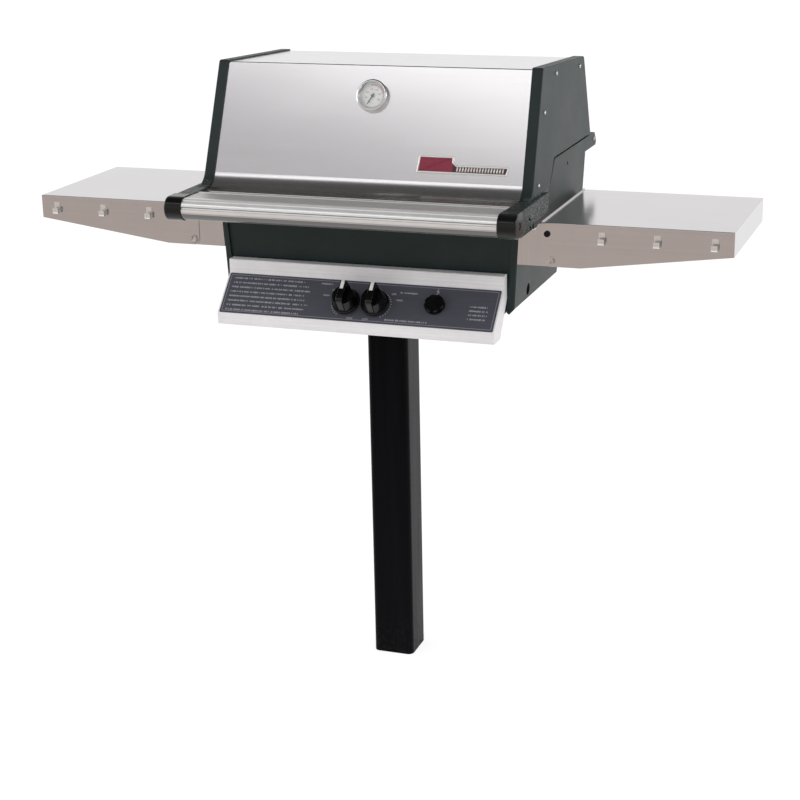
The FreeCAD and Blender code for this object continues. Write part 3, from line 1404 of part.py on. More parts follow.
def thermometer_case():
    """Chrome bezel and back with the probe through the sheet and its nut inside."""
    bezel = rod(Vector(0, 0, 0), Vector(0, 0, gauge_depth), gauge_radius)
    bezel = bezel.makeFillet(3.0, [e for e in bezel.Edges if e.BoundBox.ZMin > gauge_depth - 0.01])
    deep = gauge_depth - 2.0
    well = Part.makeCone(gauge_dial_radius, gauge_mouth_radius, deep, Vector(0, 0, 2.0))
    probe = rod(Vector(0, 0, -gauge_stem_length), Vector(0, 0, 1), gauge_stem_radius)
    nut = hexagon(14.0, -hood_sheet - 5.0, -hood_sheet, Vector(0, 0, 0))
    return on_front(fused([bezel.cut(well), probe, nut]), 0.0, gauge_rise)


def thermometer_dial():
    """White disc with a hole for the needle's arbor."""
    disc = rod(Vector(0, 0, 2.0), Vector(0, 0, 2.8), gauge_dial_radius - 0.1)
    hole = rod(Vector(0, 0, 1), Vector(0, 0, 4), 1.2 + running_fit)
    return on_front(disc.cut(hole), 0.0, gauge_rise)


def thermometer_needle():
    """Needle on its arbor, pointing to the cold end at the lower left."""
    arbor = rod(Vector(0, 0, 2.3), Vector(0, 0, 5.2), 1.2)
    hub = rod(Vector(0, 0, 3.6), Vector(0, 0, 5.0), 3.0)
    pointer = prism("xy", [(-1.6, -5.0), (1.6, -5.0), (0.5, 18.5), (-0.5, 18.5)], 4.0, 4.8)
    pointer.rotate(Vector(0, 0, 0), Vector(0, 0, 1), 150.0)
    return on_front(fused([arbor, hub, pointer]), 0.0, gauge_rise)


def thermometer_glass():
    """Flat window under the bezel's rim."""
    share = (glass_low - 2.0) / (gauge_depth - 2.0)
    radius = gauge_dial_radius + (gauge_mouth_radius - gauge_dial_radius) * share
    glass = rod(Vector(0, 0, glass_low), Vector(0, 0, glass_low + 1.5), radius - 0.05)
    return on_front(glass, 0.0, gauge_rise)


# Side shelves

def skirt_corners():
    """Front view of the right-hand shelf's skirt."""
    return [(skirt_inner, -shelf_sheet / 2), (skirt_inner, -skirt_drop_inner, 10.0),
            (skirt_knee, -skirt_drop_inner, 60.0), (shelf_outer, -skirt_drop_outer),
            (shelf_outer, -shelf_sheet / 2)]


def shelf_pin_holes(y0, y1, pivot_radius, stop_radius):
    """Holes for the right-hand pivot and stop pins between two depths."""
    pivot = rod(Vector(shelf_pivot_x, y0, -shelf_pivot_drop), Vector(shelf_pivot_x, y1, -shelf_pivot_drop),
                pivot_radius)
    stop = rod(Vector(stop_pin_x, y0, -stop_pin_drop), Vector(stop_pin_x, y1, -stop_pin_drop), stop_radius)
    return [pivot, stop]


def shelf():
    """Right-hand folding shelf: top with a raised inner lip, front and rear skirts and the outer end."""
    top = block(shelf_inner, shelf_outer, 0.0, shelf_depth, -shelf_sheet, 0.0)
    front = prism("xz", skirt_corners(), 0.0, shelf_sheet)
    rear = prism("xz", skirt_corners(), shelf_depth - shelf_sheet, shelf_depth)
    end = block(shelf_outer - shelf_sheet, shelf_outer, 0.0, shelf_depth, -skirt_drop_outer, 0.0)
    lip = block(shelf_inner, shelf_inner + shelf_sheet, 0.0, shelf_depth, -shelf_sheet, shelf_lip)
    body = fused([top, front, rear, end])
    edges = [e for e in body.Edges if e.BoundBox.ZMin > -0.01 and e.BoundBox.XMax > shelf_outer - 1.0]
    body = body.makeFillet(1.5, edges)
    body = fused([body, lip])
    holes = []
    for y0, y1 in ((-1.0, shelf_sheet + 1.0), (shelf_depth - shelf_sheet - 1.0, shelf_depth + 1.0)):
        holes += shelf_pin_holes(y0, y1, pin_radius + pin_clear, stop_notch_radius)
        holes.append(stop_notch(y0, y1))
    return body.cut(fused(holes))


def stop_notch(y0, y1):
    """Way by which the skirt leaves the stop pin as the right-hand shelf turns about its pivot."""
    start = Vector(-stop_pin_gap, 0, shelf_pivot_drop - stop_pin_drop)
    end = Vector(start)
    end = FreeCAD.Rotation(Vector(0, 1, 0), -stop_notch_turn).multVec(end)
    along = (end - start).normalize()
    across = Vector(-along.z, 0, along.x) * stop_notch_radius
    pivot = Vector(shelf_pivot_x, 0, -shelf_pivot_drop)
    corners = [pivot + start + across, pivot + end + across, pivot + end - across, pivot + start - across]
    return prism("xz", [(c.x, c.z) for c in corners], y0, y1)


def bracket_bolt_shanks():
    """Shanks of the right-hand bracket's bolts into the casting."""
    shanks = []
    z = -skirt_drop_inner * 0.6
    x = tub_half(z)
    for share in (0.185, 0.5, 0.8):
        y = shelf_depth * share
        shanks.append(rod(Vector(x - casting_wall - 3.0, y, z), Vector(x + 6.0, y, z), 3.0))
    return shanks


def shelf_bracket():
    """Right-hand bracket: a plate on the casting with two arms inside the shelf's skirts, and its bolts."""
    top = -bracket_shoulder_drop
    low = -skirt_drop_inner
    gap = 0.2
    plate_corners = [(tub_half(top) + gap, top), (tub_half(low) + gap, low),
                     (tub_half(low) + gap + bracket_sheet, low), (tub_half(top) + gap + bracket_sheet, top)]
    front_y = shelf_sheet + bracket_gap
    rear_y = shelf_depth - shelf_sheet - bracket_gap
    plate = prism("xz", plate_corners, front_y, rear_y)
    arm_corners = [(tub_half(top) + gap, top), (bracket_shoulder_x - 3.0, top, 5.0),
                   (bracket_shoulder_x + 2.0, -bracket_top, 5.0),
                   (shelf_pivot_x + 7.0, -bracket_top, 12.0), (bracket_outer, -bracket_top - 20.0, 12.0),
                   (bracket_outer, low, 15.0), (tub_half(low) + gap, low)]
    pieces = [plate, prism("xz", arm_corners, front_y, front_y + bracket_sheet),
              prism("xz", arm_corners, rear_y - bracket_sheet, rear_y)]
    body = fused(pieces)
    holes = []
    for y0, y1 in ((0.0, front_y + bracket_sheet + 1.0), (rear_y - bracket_sheet - 1.0, shelf_depth)):
        holes += shelf_pin_holes(y0, y1, pin_radius, stop_pin_radius)
    body = body.cut(Part.makeCompound(holes + bracket_bolt_shanks()))
    bolts = []
    for shank in bracket_bolt_shanks():
        centre = shank.BoundBox.Center
        x = tub_half(-skirt_drop_inner * 0.6) + gap + bracket_sheet
        start = Vector(x, centre.y, centre.z)
        inner = Vector(shank.BoundBox.XMin, centre.y, centre.z)
        head = rod(start + Vector(0.4, 0, 0), start + Vector(4.4, 0, 0), 6.0)
        bolts.append(fused([rod(inner, start + Vector(1.0, 0, 0), 3.0), head]))
    return Part.makeCompound([body] + bolts)


def shelf_pins():
    """Pivot and stop pins, front and rear, both sides."""
    right = []
    depth = shelf_sheet + bracket_gap + bracket_sheet
    for x, z, radius, washer in ((shelf_pivot_x, -shelf_pivot_drop, pin_radius, pin_washer_over),
                                 (stop_pin_x, -stop_pin_drop, stop_pin_radius, pin_head_over)):
        for face, way in ((0.0, 1.0), (shelf_depth, -1.0)):
            seat = face - way * 0.4
            rim = seat - way * pin_washer_thick
            shank = rod(Vector(x, seat, z), Vector(x, face + way * (depth + 4.0), z), radius)
            ring = rod(Vector(x, rim, z), Vector(x, seat, z), radius + washer)
            head = rod(Vector(x, seat - way * pin_head_height, z), Vector(x, rim, z), radius + pin_head_over)
            right.append(fused([shank, ring, head]))
    return Part.makeCompound(right + [mirrored(s) for s in right])


def tool_hooks():
    """Right-hand shelf's three bent hooks on the front skirt."""
    hooks = []
    for x in hook_places:
        path = [(0.0, -hook_top), (0.0, -hook_low, 4.0), (-hook_reach, -hook_low, 4.0),
                (-hook_reach, -hook_low + hook_tip)]
        hooks.append(prism("yz", sheet_loop(path, hook_sheet), x - hook_width / 2, x + hook_width / 2))
    return Part.makeCompound(hooks)


# Gas line

def gas_riser_pipe():
    """Iron pipe inside the post that turns out through the post's front."""
    out_z = -pipe_drop
    foot_z = -shelf_height - post_buried - pipe_foot
    points = [Vector(0, post_setback, foot_z), Vector(0, post_setback, out_z), Vector(0, pipe_end_y, out_z)]
    outer = bent_tube(points, pipe_radius, pipe_bend)
    longer = [points[0] - Vector(0, 0, 1), points[1], points[2] - Vector(0, 1, 0)]
    inner = bent_tube(longer, pipe_radius - pipe_wall, pipe_bend)
    thread_end = points[0] + Vector(0, 0, pipe_thread_length)
    thread = rod(points[0] - Vector(0, 0, 1), thread_end, pipe_radius + 1.0)
    thread = thread.cut(rod(points[0] - Vector(0, 0, 2), thread_end, pipe_thread_radius))
    return outer.cut(inner.fuse(thread))


def gas_cock_body():
    """Brass shut-off on the pipe's end, with a seat for the lever's spindle on its left."""
    z = -pipe_drop
    sleeve = rod(Vector(0, pipe_end_y + 10.0, z), Vector(0, cock_front_y, z), cock_radius)
    side = rod(Vector(0, (pipe_end_y + cock_front_y) / 2, z),
               Vector(-cock_lever_x + 1.0, (pipe_end_y + cock_front_y) / 2, z), 8.0)
    body = fused([sleeve, side])
    pipe_seat = rod(Vector(0, pipe_end_y + 13.0, z), Vector(0, pipe_end_y, z), pipe_radius)
    flow = rod(Vector(0, pipe_end_y + 1.0, z), Vector(0, cock_front_y - 1, z), feed_radius)
    middle_y = (pipe_end_y + cock_front_y) / 2
    spindle = rod(Vector(-cock_lever_x - 5.0, middle_y, z), Vector(-cock_radius + 4.0, middle_y, z),
                  4.0 + running_fit)
    return body.cut(fused([pipe_seat, flow])).cut(spindle)


def gas_cock_lever():
    """Flat lever, along the pipe when the gas is on."""
    z = -pipe_drop
    middle_y = (pipe_end_y + cock_front_y) / 2
    spindle = rod(Vector(-cock_lever_x - 1.0, middle_y, z), Vector(-cock_radius + 3.5, middle_y, z), 4.0)
    blade = prism("yz", [(middle_y + 8.0, z - 8.0, 7.0), (middle_y + 8.0, z + 8.0, 7.0),
                         (middle_y - cock_lever_length, z + 6.0, 5.0),
                         (middle_y - cock_lever_length, z - 6.0, 5.0)],
                  -cock_lever_x - 4.0, -cock_lever_x - 0.5)
    return fused([spindle, blade])


def gas_feed_tube():
    """Bent tube from the shut-off to the manifold's inlet."""
    centre = control_place(0.0) + Vector(0, -slope_sin, slope_cos) * manifold_depth
    start = Vector(0, cock_front_y, -pipe_drop)
    end = Vector(manifold_inlet_x, centre.y + manifold_boss_length, centre.z)
    points = [start, start - Vector(0, 24.0, 0), end + Vector(0, 21.0, 0), end]
    return bent_tube(points, feed_radius)


def save(name, shape, place):
    """Writes one node, moved from its drawing frame to the part's frame."""
    moved = shape.copy()
    moved.translate(place)
    if not moved.isValid():
        raise ValueError(name + " is not a valid shape")
    moved.exportStep("parts/" + name + ".step")
    print("%-26s solids %2d  volume %9.0f" % (name, len(moved.Solids), moved.Volume))


def main():
    """Draws every node and writes it."""
    os.makedirs("parts", exist_ok=True)
    ground = Vector(0, 0, 0)
    save("post_tube", post_tube(), ground)
    head = {
        "post_head_plate": post_head_plate(),
        "support_crossbars": support_crossbars(),
        "mounting_bolts": mounting_bolts(),
        "gas_riser_pipe": gas_riser_pipe(),
        "gas_cock_body": gas_cock_body(),
        "gas_cock_lever": gas_cock_lever(),
        "gas_feed_tube": gas_feed_tube(),
        "gas_manifold": gas_manifold(),
        "igniter_body": igniter_body(),
        "igniter_knob": igniter_knob(),
        "igniter_lead": igniter_lead(),
        "igniter_electrode": igniter_electrode(),
        "left_burner": burner(-burner_gap / 2 - burner_width, left_valve_x),
        "right_burner": burner(burner_gap / 2, right_valve_x),
        "briquette_grate": briquette_grate(),
        "ceramic_briquettes": ceramic_briquettes(),
        "warming_rack": warming_rack(),
        "firebox_front_panel": firebox_front_panel(),
        "firebox_rear_panel": firebox_rear_panel(),
        "firebox_floor": firebox_floor(),
        "grease_tray": grease_tray(),
        "control_panel": control_panel(),
        "control_panel_label": control_panel_label(),
        "hood_front_skin": hood_front_skin(),
        "hood_top_skin": hood_top_skin(),
        "hood_screws": hood_screws(),
        "hood_nameplate": hood_nameplate(),
        "hood_hinge_pins": hood_hinge_pins(),
        "handle_grip": handle_grip(),
        "thermometer_case": thermometer_case(),
        "thermometer_dial": thermometer_dial(),
        "thermometer_needle": thermometer_needle(),
        "thermometer_glass": thermometer_glass(),
        "shelf_pins": shelf_pins(),
    }
    for name, x in (("left", left_valve_x), ("right", right_valve_x)):
        head[name + "_valve_body"] = valve_body(x)
        head[name + "_valve_plug"] = valve_plug(x)
        head[name + "_valve_spring"] = valve_spring(x)
        head[name + "_valve_spindle"] = valve_spindle(x)
        head[name + "_burner_knob"] = burner_knob(x)
    pairs = {"firebox_%s_side": firebox_side(), "hood_%s_end": hood_end(), "handle_%s_cap": handle_cap(),
             "%s_cooking_grid": cooking_grid(), "%s_shelf": shelf(), "%s_shelf_bracket": shelf_bracket(),
             "%s_tool_hooks": tool_hooks()}
    for pattern, shape in pairs.items():
        head[pattern % "right"] = shape
        head[pattern % "left"] = mirrored(shape)
    for name, shape in head.items():
        save(name, shape, head_place)


main()
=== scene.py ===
import json
import logging
import math
from dataclasses import dataclass
from enum import Enum
from typing import Protocol

import bpy
import numpy as np
from mathutils import Matrix, Vector


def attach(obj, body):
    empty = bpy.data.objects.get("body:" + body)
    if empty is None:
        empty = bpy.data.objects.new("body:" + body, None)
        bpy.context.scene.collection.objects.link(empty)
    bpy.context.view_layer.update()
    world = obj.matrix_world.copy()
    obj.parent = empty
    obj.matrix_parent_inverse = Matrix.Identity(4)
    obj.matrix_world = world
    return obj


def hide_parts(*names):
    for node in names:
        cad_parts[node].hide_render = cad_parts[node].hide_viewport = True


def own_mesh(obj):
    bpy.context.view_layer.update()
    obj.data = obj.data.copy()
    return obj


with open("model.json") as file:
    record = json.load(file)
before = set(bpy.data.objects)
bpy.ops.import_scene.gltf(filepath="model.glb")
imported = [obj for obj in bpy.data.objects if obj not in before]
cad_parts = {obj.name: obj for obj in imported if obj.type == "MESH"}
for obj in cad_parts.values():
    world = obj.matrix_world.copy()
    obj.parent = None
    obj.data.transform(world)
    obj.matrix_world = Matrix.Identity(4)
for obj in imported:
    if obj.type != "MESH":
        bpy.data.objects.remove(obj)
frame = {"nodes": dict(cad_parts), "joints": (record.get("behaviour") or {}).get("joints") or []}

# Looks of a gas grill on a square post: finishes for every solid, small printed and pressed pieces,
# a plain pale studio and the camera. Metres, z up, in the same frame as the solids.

log = logging.getLogger("grill")
Colour = tuple[float, float, float]
Socket = bpy.types.NodeSocket
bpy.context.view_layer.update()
SIDES = (("left", -1.0), ("right", 1.0))
WHITE = (1.0, 1.0, 1.0)


class Grain(Enum):
    """Direction of the brushing on a sheet, as the scale of its pattern along x, y and z."""

    ALONG_X = (5.0, 900.0, 900.0)
    ALONG_Z = (900.0, 900.0, 5.0)
    NONE = (260.0, 260.0, 260.0)


# Shader graphs


class Graph:
    """Builds one material's or world's nodes, with a word for each kind that the finishes use."""

    def __init__(self, name: str, world: bool = False) -> None:
        """Starts an empty material or world.

        Args:
            name: its name.
            world: whether it is a world.
        """
        self.material = (bpy.data.worlds if world else bpy.data.materials).new(name)
        self.material.use_nodes = True
        self.nodes = self.material.node_tree.nodes
        self.links = self.material.node_tree.links
        self.nodes.clear()
        self.output = self.nodes.new("ShaderNodeOutputWorld" if world else "ShaderNodeOutputMaterial")
        self._place = None

    def add(self, kind: str, inputs: dict | None = None, **settings: object) -> bpy.types.Node:
        """Adds a node, sets its properties, and sets or links its inputs.

        Args:
            kind: the node type.
            inputs: input name or index to a value or to another node's output.
            settings: properties of the node.

        Returns:
            The node.
        """
        node = self.nodes.new(kind)
        for key, value in settings.items():
            setattr(node, key, value)
        for key, value in (inputs or {}).items():
            if isinstance(value, Socket):
                self.links.new(value, node.inputs[key])
            else:
                node.inputs[key].default_value = value
        return node

    def place(self) -> Socket:
        """The piece's own coordinates in metres, from one node that is made when first asked for.

        Returns:
            The coordinates.
        """
        if self._place is None:
            self._place = self.add("ShaderNodeTexCoord").outputs["Object"]
        return self._place

    def noise(self, scale: float | tuple[float, float, float], detail: float = 2.0,
              roughness: float = 0.5) -> Socket:
        """Cloudy pattern from 0 to 1.

        Args:
            scale: blotches per metre, one number or one for each of x, y and z.
            detail: how many finer layers it has.
            roughness: how strong those are.

        Returns:
            The pattern's value.
        """
        scale = scale if isinstance(scale, tuple) else (scale,) * 3
        place = self.add("ShaderNodeMapping", {"Vector": self.place(), "Scale": scale}).outputs["Vector"]
        inputs = {"Vector": place, "Scale": 1.0, "Detail": detail, "Roughness": roughness}
        return self.add("ShaderNodeTexNoise", inputs).outputs["Fac"]

    def cells(self, scale: float, feature: str = "F1") -> Socket:
        """Distance to the nearest of scattered points, or to the border between two of them."""
        inputs = {"Vector": self.place(), "Scale": scale}
        return self.add("ShaderNodeTexVoronoi", inputs, feature=feature).outputs["Distance"]

    def remap(self, value: Socket, low: float, high: float, to_low: float = 0.0,
              to_high: float = 1.0) -> Socket:
        """Value stretched from low..high to to_low..to_high, and held there outside."""
        inputs = {"Value": value, "From Min": low, "From Max": high, "To Min": to_low, "To Max": to_high}
        return self.add("ShaderNodeMapRange", inputs).outputs["Result"]

    def maths(self, operation: str, first: Socket, second: Socket | float = 0.0) -> Socket:
        """Arithmetic on one or two values."""
        return self.add("ShaderNodeMath", {0: first, 1: second}, operation=operation).outputs[0]

    def plus(self, first: Socket, second: Socket | float) -> Socket:
        """Sum of two values."""
        return self.maths("ADD", first, second)

    def times(self, first: Socket, second: Socket | float) -> Socket:
        """Product of two values."""
        return self.maths("MULTIPLY", first, second)

    def axis(self, name: str) -> Socket:
        """The piece's own coordinate X, Y or Z, in metres."""
        return self.add("ShaderNodeSeparateXYZ", {0: self.place()}).outputs[name]

    def facing(self, axis: str, low: float, high: float) -> Socket:
        """0 to 1 as one part of a face's own normal goes from low to high."""
        normal = self.add("ShaderNodeNewGeometry").outputs["True Normal"]
        return self.remap(self.add("ShaderNodeSeparateXYZ", {0: normal}).outputs[axis], low, high)

    def facing_up(self) -> Socket:
        """1 on faces that look up, 0 on upright ones and those that look down."""
        return self.facing("Z", 0.6, 0.9)

    def ramp(self, value: Socket, stops: tuple) -> Socket:
        """Grey that follows a value through stops.

        Args:
            value: what is followed.
            stops: rising pairs of a value from 0 to 1 and its grey.

        Returns:
            The grey.
        """
        node = self.add("ShaderNodeValToRGB", {0: value})
        elements = node.color_ramp.elements
        elements[0].position = stops[0][0]
        elements[1].position = stops[-1][0]
        for position, _ in stops[1:-1]:
            elements.new(position)
        for element, (_, grey) in zip(elements, stops):
            element.color = (grey, grey, grey, 1.0)
        return node.outputs["Color"]

    def camera_ray(self) -> Socket:
        """1 for rays of the eye."""
        return self.add("ShaderNodeLightPath").outputs["Is Camera Ray"]

    def seen(self) -> Socket:
        """Tells rays of the eye, of gloss and through glass from the light that spreads evenly.

        Returns:
            1 for the former and 0 for the latter.
        """
        path = self.add("ShaderNodeLightPath").outputs
        eye = self.maths("MAXIMUM", path["Is Camera Ray"], path["Is Glossy Ray"])
        return self.maths("MAXIMUM", eye, path["Is Transmission Ray"])

    def blend(self, share: Socket, first: Socket | Colour, second: Socket | Colour) -> Socket:
        """Colour between two colours.

        Args:
            share: 0 for the first colour and 1 for the second.
            first: a colour or a socket.
            second: a colour or a socket.

        Returns:
            The mixed colour.
        """
        colours = {6 + i: c if isinstance(c, Socket) else (*c, 1.0) for i, c in enumerate((first, second))}
        return self.add("ShaderNodeMix", {0: share} | colours, data_type="RGBA").outputs[2]

    def bump(self, height: Socket, depth: float, under: Socket | None = None) -> Socket:
        """Surface relief.

        Args:
            height: the pattern.
            depth: its depth in metres.
            under: a relief that this one lies on.

        Returns:
            The tilted normal.
        """
        inputs = {"Height": height, "Distance": depth, "Strength": 1.0}
        if under is not None:
            inputs["Normal"] = under
        return self.add("ShaderNodeBump", inputs).outputs["Normal"]

    def edges(self, radius: float) -> Socket:
        """1 close to a sharp edge and 0 on the open face.

        The normal smoothed over the radius is compared with the plain one: one minus their product.

        Args:
            radius: how far from the edge it reaches.

        Returns:
            The mask.
        """
        smooth = self.add("ShaderNodeBevel", {"Radius": radius}, samples=4).outputs["Normal"]
        plain = self.add("ShaderNodeNewGeometry").outputs["Normal"]
        product = self.add("ShaderNodeVectorMath", {0: smooth, 1: plain}, operation="DOT_PRODUCT")
        return self.remap(product.outputs["Value"], 0.97, 0.80)

    def worn(self, radius: float, patches: Socket, low: float, high: float, share: float) -> Socket:
        """Wear along edges, broken up by patches that come in between two levels."""
        return self.times(self.edges(radius), self.remap(patches, low, high, 0.0, share))

    def dusty(self, colour: Socket | Colour, cloud: Socket, share: float, dust: Colour) -> Socket:
        """Colour under dust, which lies in clouds on faces that look up."""
        lying = self.times(self.facing_up(), self.remap(cloud, 0.35, 0.7, 0.0, share))
        return self.blend(lying, colour, dust)

    def even_or_seen(self, even: Socket, seen: Socket) -> None:
        """Gives the light that spreads evenly one shader, and rays of the eye, gloss and glass another."""
        self.surface(self.add("ShaderNodeMixShader", {"Fac": self.seen(), 1: even, 2: seen}).outputs[0])

    def surface(self, shader: Socket) -> None:
        """Puts a shader on the material or world."""
        self.links.new(shader, self.output.inputs["Surface"])

    def finish(self, **inputs: object) -> bpy.types.Material:
        """Puts the surface shader on the material.

        Args:
            inputs: the shader's inputs, with underscores for spaces.

        Returns:
            The material.
        """
        named = {key.replace("_", " "): (*value, 1.0) if isinstance(value, tuple) else value
                 for key, value in inputs.items()}
        self.surface(self.add("ShaderNodeBsdfPrincipled", named).outputs[0])
        return self.material


# Finishes


class Finish(Protocol):
    """Any finish: it has a name, and builds its material."""

    name: str

    def material(self) -> bpy.types.Material:
        """The material, made anew."""


def shade(colour: Colour, factor: float, lift: float = 0.0) -> Colour:
    """Colour made darker or lighter, with each of its parts held at 1."""
    return tuple(min(c * factor + lift, 1.0) for c in colour)


@dataclass(frozen=True)
class BrushedSheet:
    """Satin stainless sheet: fine lines along the grain, slow waves, stains and finger smudges."""

    name: str
    tint: Colour
    grain: Grain = Grain.ALONG_X
    roughness: float = 0.2
    line_depth: float = 0.0000012
    wave_depth: float = 0.0004
    smudge: float = 0.04
    mottle: float = 0.04
    metal: float = 1.0

    def material(self) -> bpy.types.Material:
        """Lines are noise drawn out along the grain; smudges change the roughness, mottle the tone.

        Returns:
            The material.
        """
        g = Graph(self.name)
        fine = g.noise(self.grain.value, 3.0, 0.6)
        broad = g.noise(tuple(s / 4.0 for s in self.grain.value), 2.0, 0.5)
        cloud = g.noise((7.0, 7.0, 10.0), 4.0, 0.6)
        spots = g.noise(30.0, 4.0, 0.7)
        tone = g.remap(g.plus(g.plus(fine, broad), g.plus(cloud, spots)), 1.5, 2.5)
        colour = g.blend(tone, shade(self.tint, 1.0 - self.mottle), shade(self.tint, 1.0 + self.mottle))
        rough = g.plus(g.remap(fine, 0.2, 0.8, self.roughness - 0.02, self.roughness + 0.03),
                       g.remap(spots, 0.5, 0.8, 0.0, self.smudge))
        relief = g.bump(g.noise((3.0, 3.0, 5.0), 1.0), self.wave_depth)
        relief = g.bump(g.plus(fine, broad), self.line_depth, relief)
        return g.finish(Base_Color=colour, Metallic=self.metal, Roughness=rough, Normal=relief)


@dataclass(frozen=True)
class ScorchAndShadeSheet:
    """Satin sheet that darkens in a band of heights: partly smoke and grease baked on, partly painted shade
    and reflection of the dark bend above the grip.
    """

    name: str
    tint: Colour = (0.72, 0.70, 0.715)
    scorch_and_shade: Colour = (0.60, 0.585, 0.56)
    band_low: float = 1.014
    band_high: float = 1.040
    roughness: float = 0.21
    line_depth: float = 0.0000006
    bow: float = 0.0016
    seam: float = 1.2472
    seam_shade_colour: Colour = (0.05, 0.05, 0.05)

    def material(self) -> bpy.types.Material:
        """Scorch and painted shade fall smoothly from the band's low edge to its high one; the top seam is a
        dark line of painted shade.

        Returns:
            The material.
        """
        g = Graph(self.name)
        fine = g.noise(Grain.ALONG_X.value, 3.0, 0.6)
        cloud = g.noise((5.0, 5.0, 8.0), 4.0, 0.6)
        streak = g.noise((2.0, 90.0, 90.0), 3.0, 0.6)
        tone = g.remap(g.plus(fine, g.plus(cloud, streak)), 1.1, 1.9)
        colour = g.blend(tone, shade(self.tint, 0.96), self.tint)
        height = g.plus(g.axis("Z"), g.remap(streak, 0.2, 0.8, -0.002, 0.002))
        band = {"Value": height, "From Min": self.band_high, "From Max": self.band_low}
        share = g.add("ShaderNodeMapRange", band, interpolation_type="SMOOTHSTEP").outputs["Result"]
        # painted shade and reflection: the band darkens the bend above the grip, partly real scorch
        colour = g.blend(share, colour, g.blend(streak, shade(self.scorch_and_shade, 0.86), self.scorch_and_shade))
        # painted shade: the dark line along the top seam stands for the shadow in the gap between the skins
        colour = g.blend(g.remap(g.axis("Z"), self.seam, self.seam + 0.0006), colour, self.seam_shade_colour)
        rough = g.plus(g.remap(fine, 0.2, 0.8, self.roughness - 0.02, self.roughness + 0.03),
                       g.remap(share, 0.0, 1.0, 0.0, 0.05))
        relief = g.bump(g.noise((2.2, 2.2, 3.6), 1.0), self.bow)
        relief = g.bump(g.plus(fine, streak), self.line_depth, relief)
        return g.finish(Base_Color=colour, Metallic=1.0, Roughness=rough, Normal=relief)


@dataclass(frozen=True)
class HeatProofPaint:
    """Satin paint: on a casting the sand's grain shows through, and edges are rubbed to the metal."""

    name: str
    colour: Colour = (0.010, 0.019, 0.018)
    grain_depth: float = 0.00035
    grain_scale: float = 700.0
    roughness: float = 0.42
    wear: float = 0.35
    dust: float = 0.05
    gloss: float = 0.28
    chips: tuple[float, float] | None = None
    metal: Colour = (0.42, 0.42, 0.41)

    def material(self) -> bpy.types.Material:
        """Grain is noise and pits; wear follows the edges; dust lies on faces that look up.

        Chips, where given, are bright specks that fade in between two heights.

        Returns:
            The material.
        """
        g = Graph(self.name)
        grain = g.noise(self.grain_scale, 3.0, 0.6)
        pits = g.remap(g.cells(self.grain_scale / 2.0), 0.0, 0.35)
        cloud = g.noise(9.0, 4.0, 0.6)
        paint = g.blend(g.remap(cloud, 0.3, 0.75), self.colour, shade(self.colour, 1.5, 0.003))
        paint = g.dusty(paint, cloud, self.dust, (0.20, 0.19, 0.17))
        worn = g.worn(0.0011, g.noise(120.0, 3.0, 0.6), 0.45, 0.62, self.wear)
        if self.chips is not None:
            specks = g.remap(g.noise(260.0, 2.0, 0.6), 0.56, 0.61)
            specks = g.times(specks, g.remap(cloud, 0.40, 0.50))
            chipped = g.times(specks, g.remap(g.axis("Z"), *self.chips))
            worn = g.maths("MAXIMUM", worn, g.times(chipped, 0.9))
        rough = g.remap(g.plus(grain, cloud), 0.6, 1.4, self.roughness - 0.06, self.roughness + 0.10)
        return g.finish(Base_Color=g.blend(worn, paint, self.metal), Metallic=g.remap(worn, 0.1, 0.5),
                        Roughness=rough, Normal=g.bump(g.times(grain, pits), self.grain_depth),
                        Specular_IOR_Level=self.gloss)


@dataclass(frozen=True)
class PowderCoat:
    """Blue-black powder coat with its fine orange peel, rain streaks and soil splashed up the foot."""

    name: str
    colour: Colour = (0.0010, 0.0010, 0.0020)
    soil: Colour = (0.060, 0.050, 0.036)
    soil_height: float = 0.10
    soil_share: float = 0.25
    roughness: float = 0.30
    gloss: float = 0.06

    def material(self) -> bpy.types.Material:
        """Soil fades with height above the ground; streaks are noise drawn out upwards.

        Returns:
            The material.
        """
        g = Graph(self.name)
        streaks = g.noise((60.0, 60.0, 3.0), 3.0, 0.6)
        splash = g.noise((140.0, 140.0, 70.0), 5.0, 0.7)
        colour = g.blend(g.remap(streaks, 0.45, 0.75), self.colour, shade(self.colour, 1.8, 0.001))
        soiled = g.times(g.remap(g.axis("Z"), self.soil_height, 0.0), g.remap(splash, 0.50, 0.66))
        colour = g.blend(g.times(soiled, self.soil_share), colour, self.soil)
        worn = g.worn(0.0010, g.noise(150.0, 3.0, 0.6), 0.55, 0.66, 0.5)
        colour = g.blend(worn, colour, (0.10, 0.10, 0.11))
        rough = g.plus(g.remap(streaks, 0.3, 0.7, self.roughness - 0.05, self.roughness + 0.08),
                       g.remap(soiled, 0.0, 1.0, 0.0, 0.4))
        return g.finish(Base_Color=colour, Roughness=rough, Normal=g.bump(g.noise(420.0, 2.0, 0.5), 0.00018),
                        Specular_IOR_Level=self.gloss)


@dataclass(frozen=True)
class GlossPlastic:
    """Moulded black plastic with hairline scratches and a little dust on top."""

    name: str
    colour: Colour = (0.003, 0.003, 0.0035)
    roughness: float = 0.14
    dust: float = 0.03
    gloss: float = 0.35

    def material(self) -> bpy.types.Material:
        """Scratches are thin lines between scattered cells; dust lies on faces that look up.

        Returns:
            The material.
        """
        g = Graph(self.name)
        faint = g.noise(35.0, 3.0, 0.6)
        lines = g.remap(g.cells(90.0, "DISTANCE_TO_EDGE"), 0.012, 0.0)
        scratch = g.times(lines, g.remap(faint, 0.5, 0.7))
        rough = g.plus(g.remap(faint, 0.3, 0.7, self.roughness - 0.05, self.roughness + 0.06),
                       g.times(scratch, 0.3))
        colour = g.dusty(self.colour, faint, self.dust, (0.22, 0.21, 0.19))
        return g.finish(Base_Color=colour, Roughness=rough, Specular_IOR_Level=self.gloss,
                        Normal=g.bump(g.noise(900.0, 1.0), 0.00003))


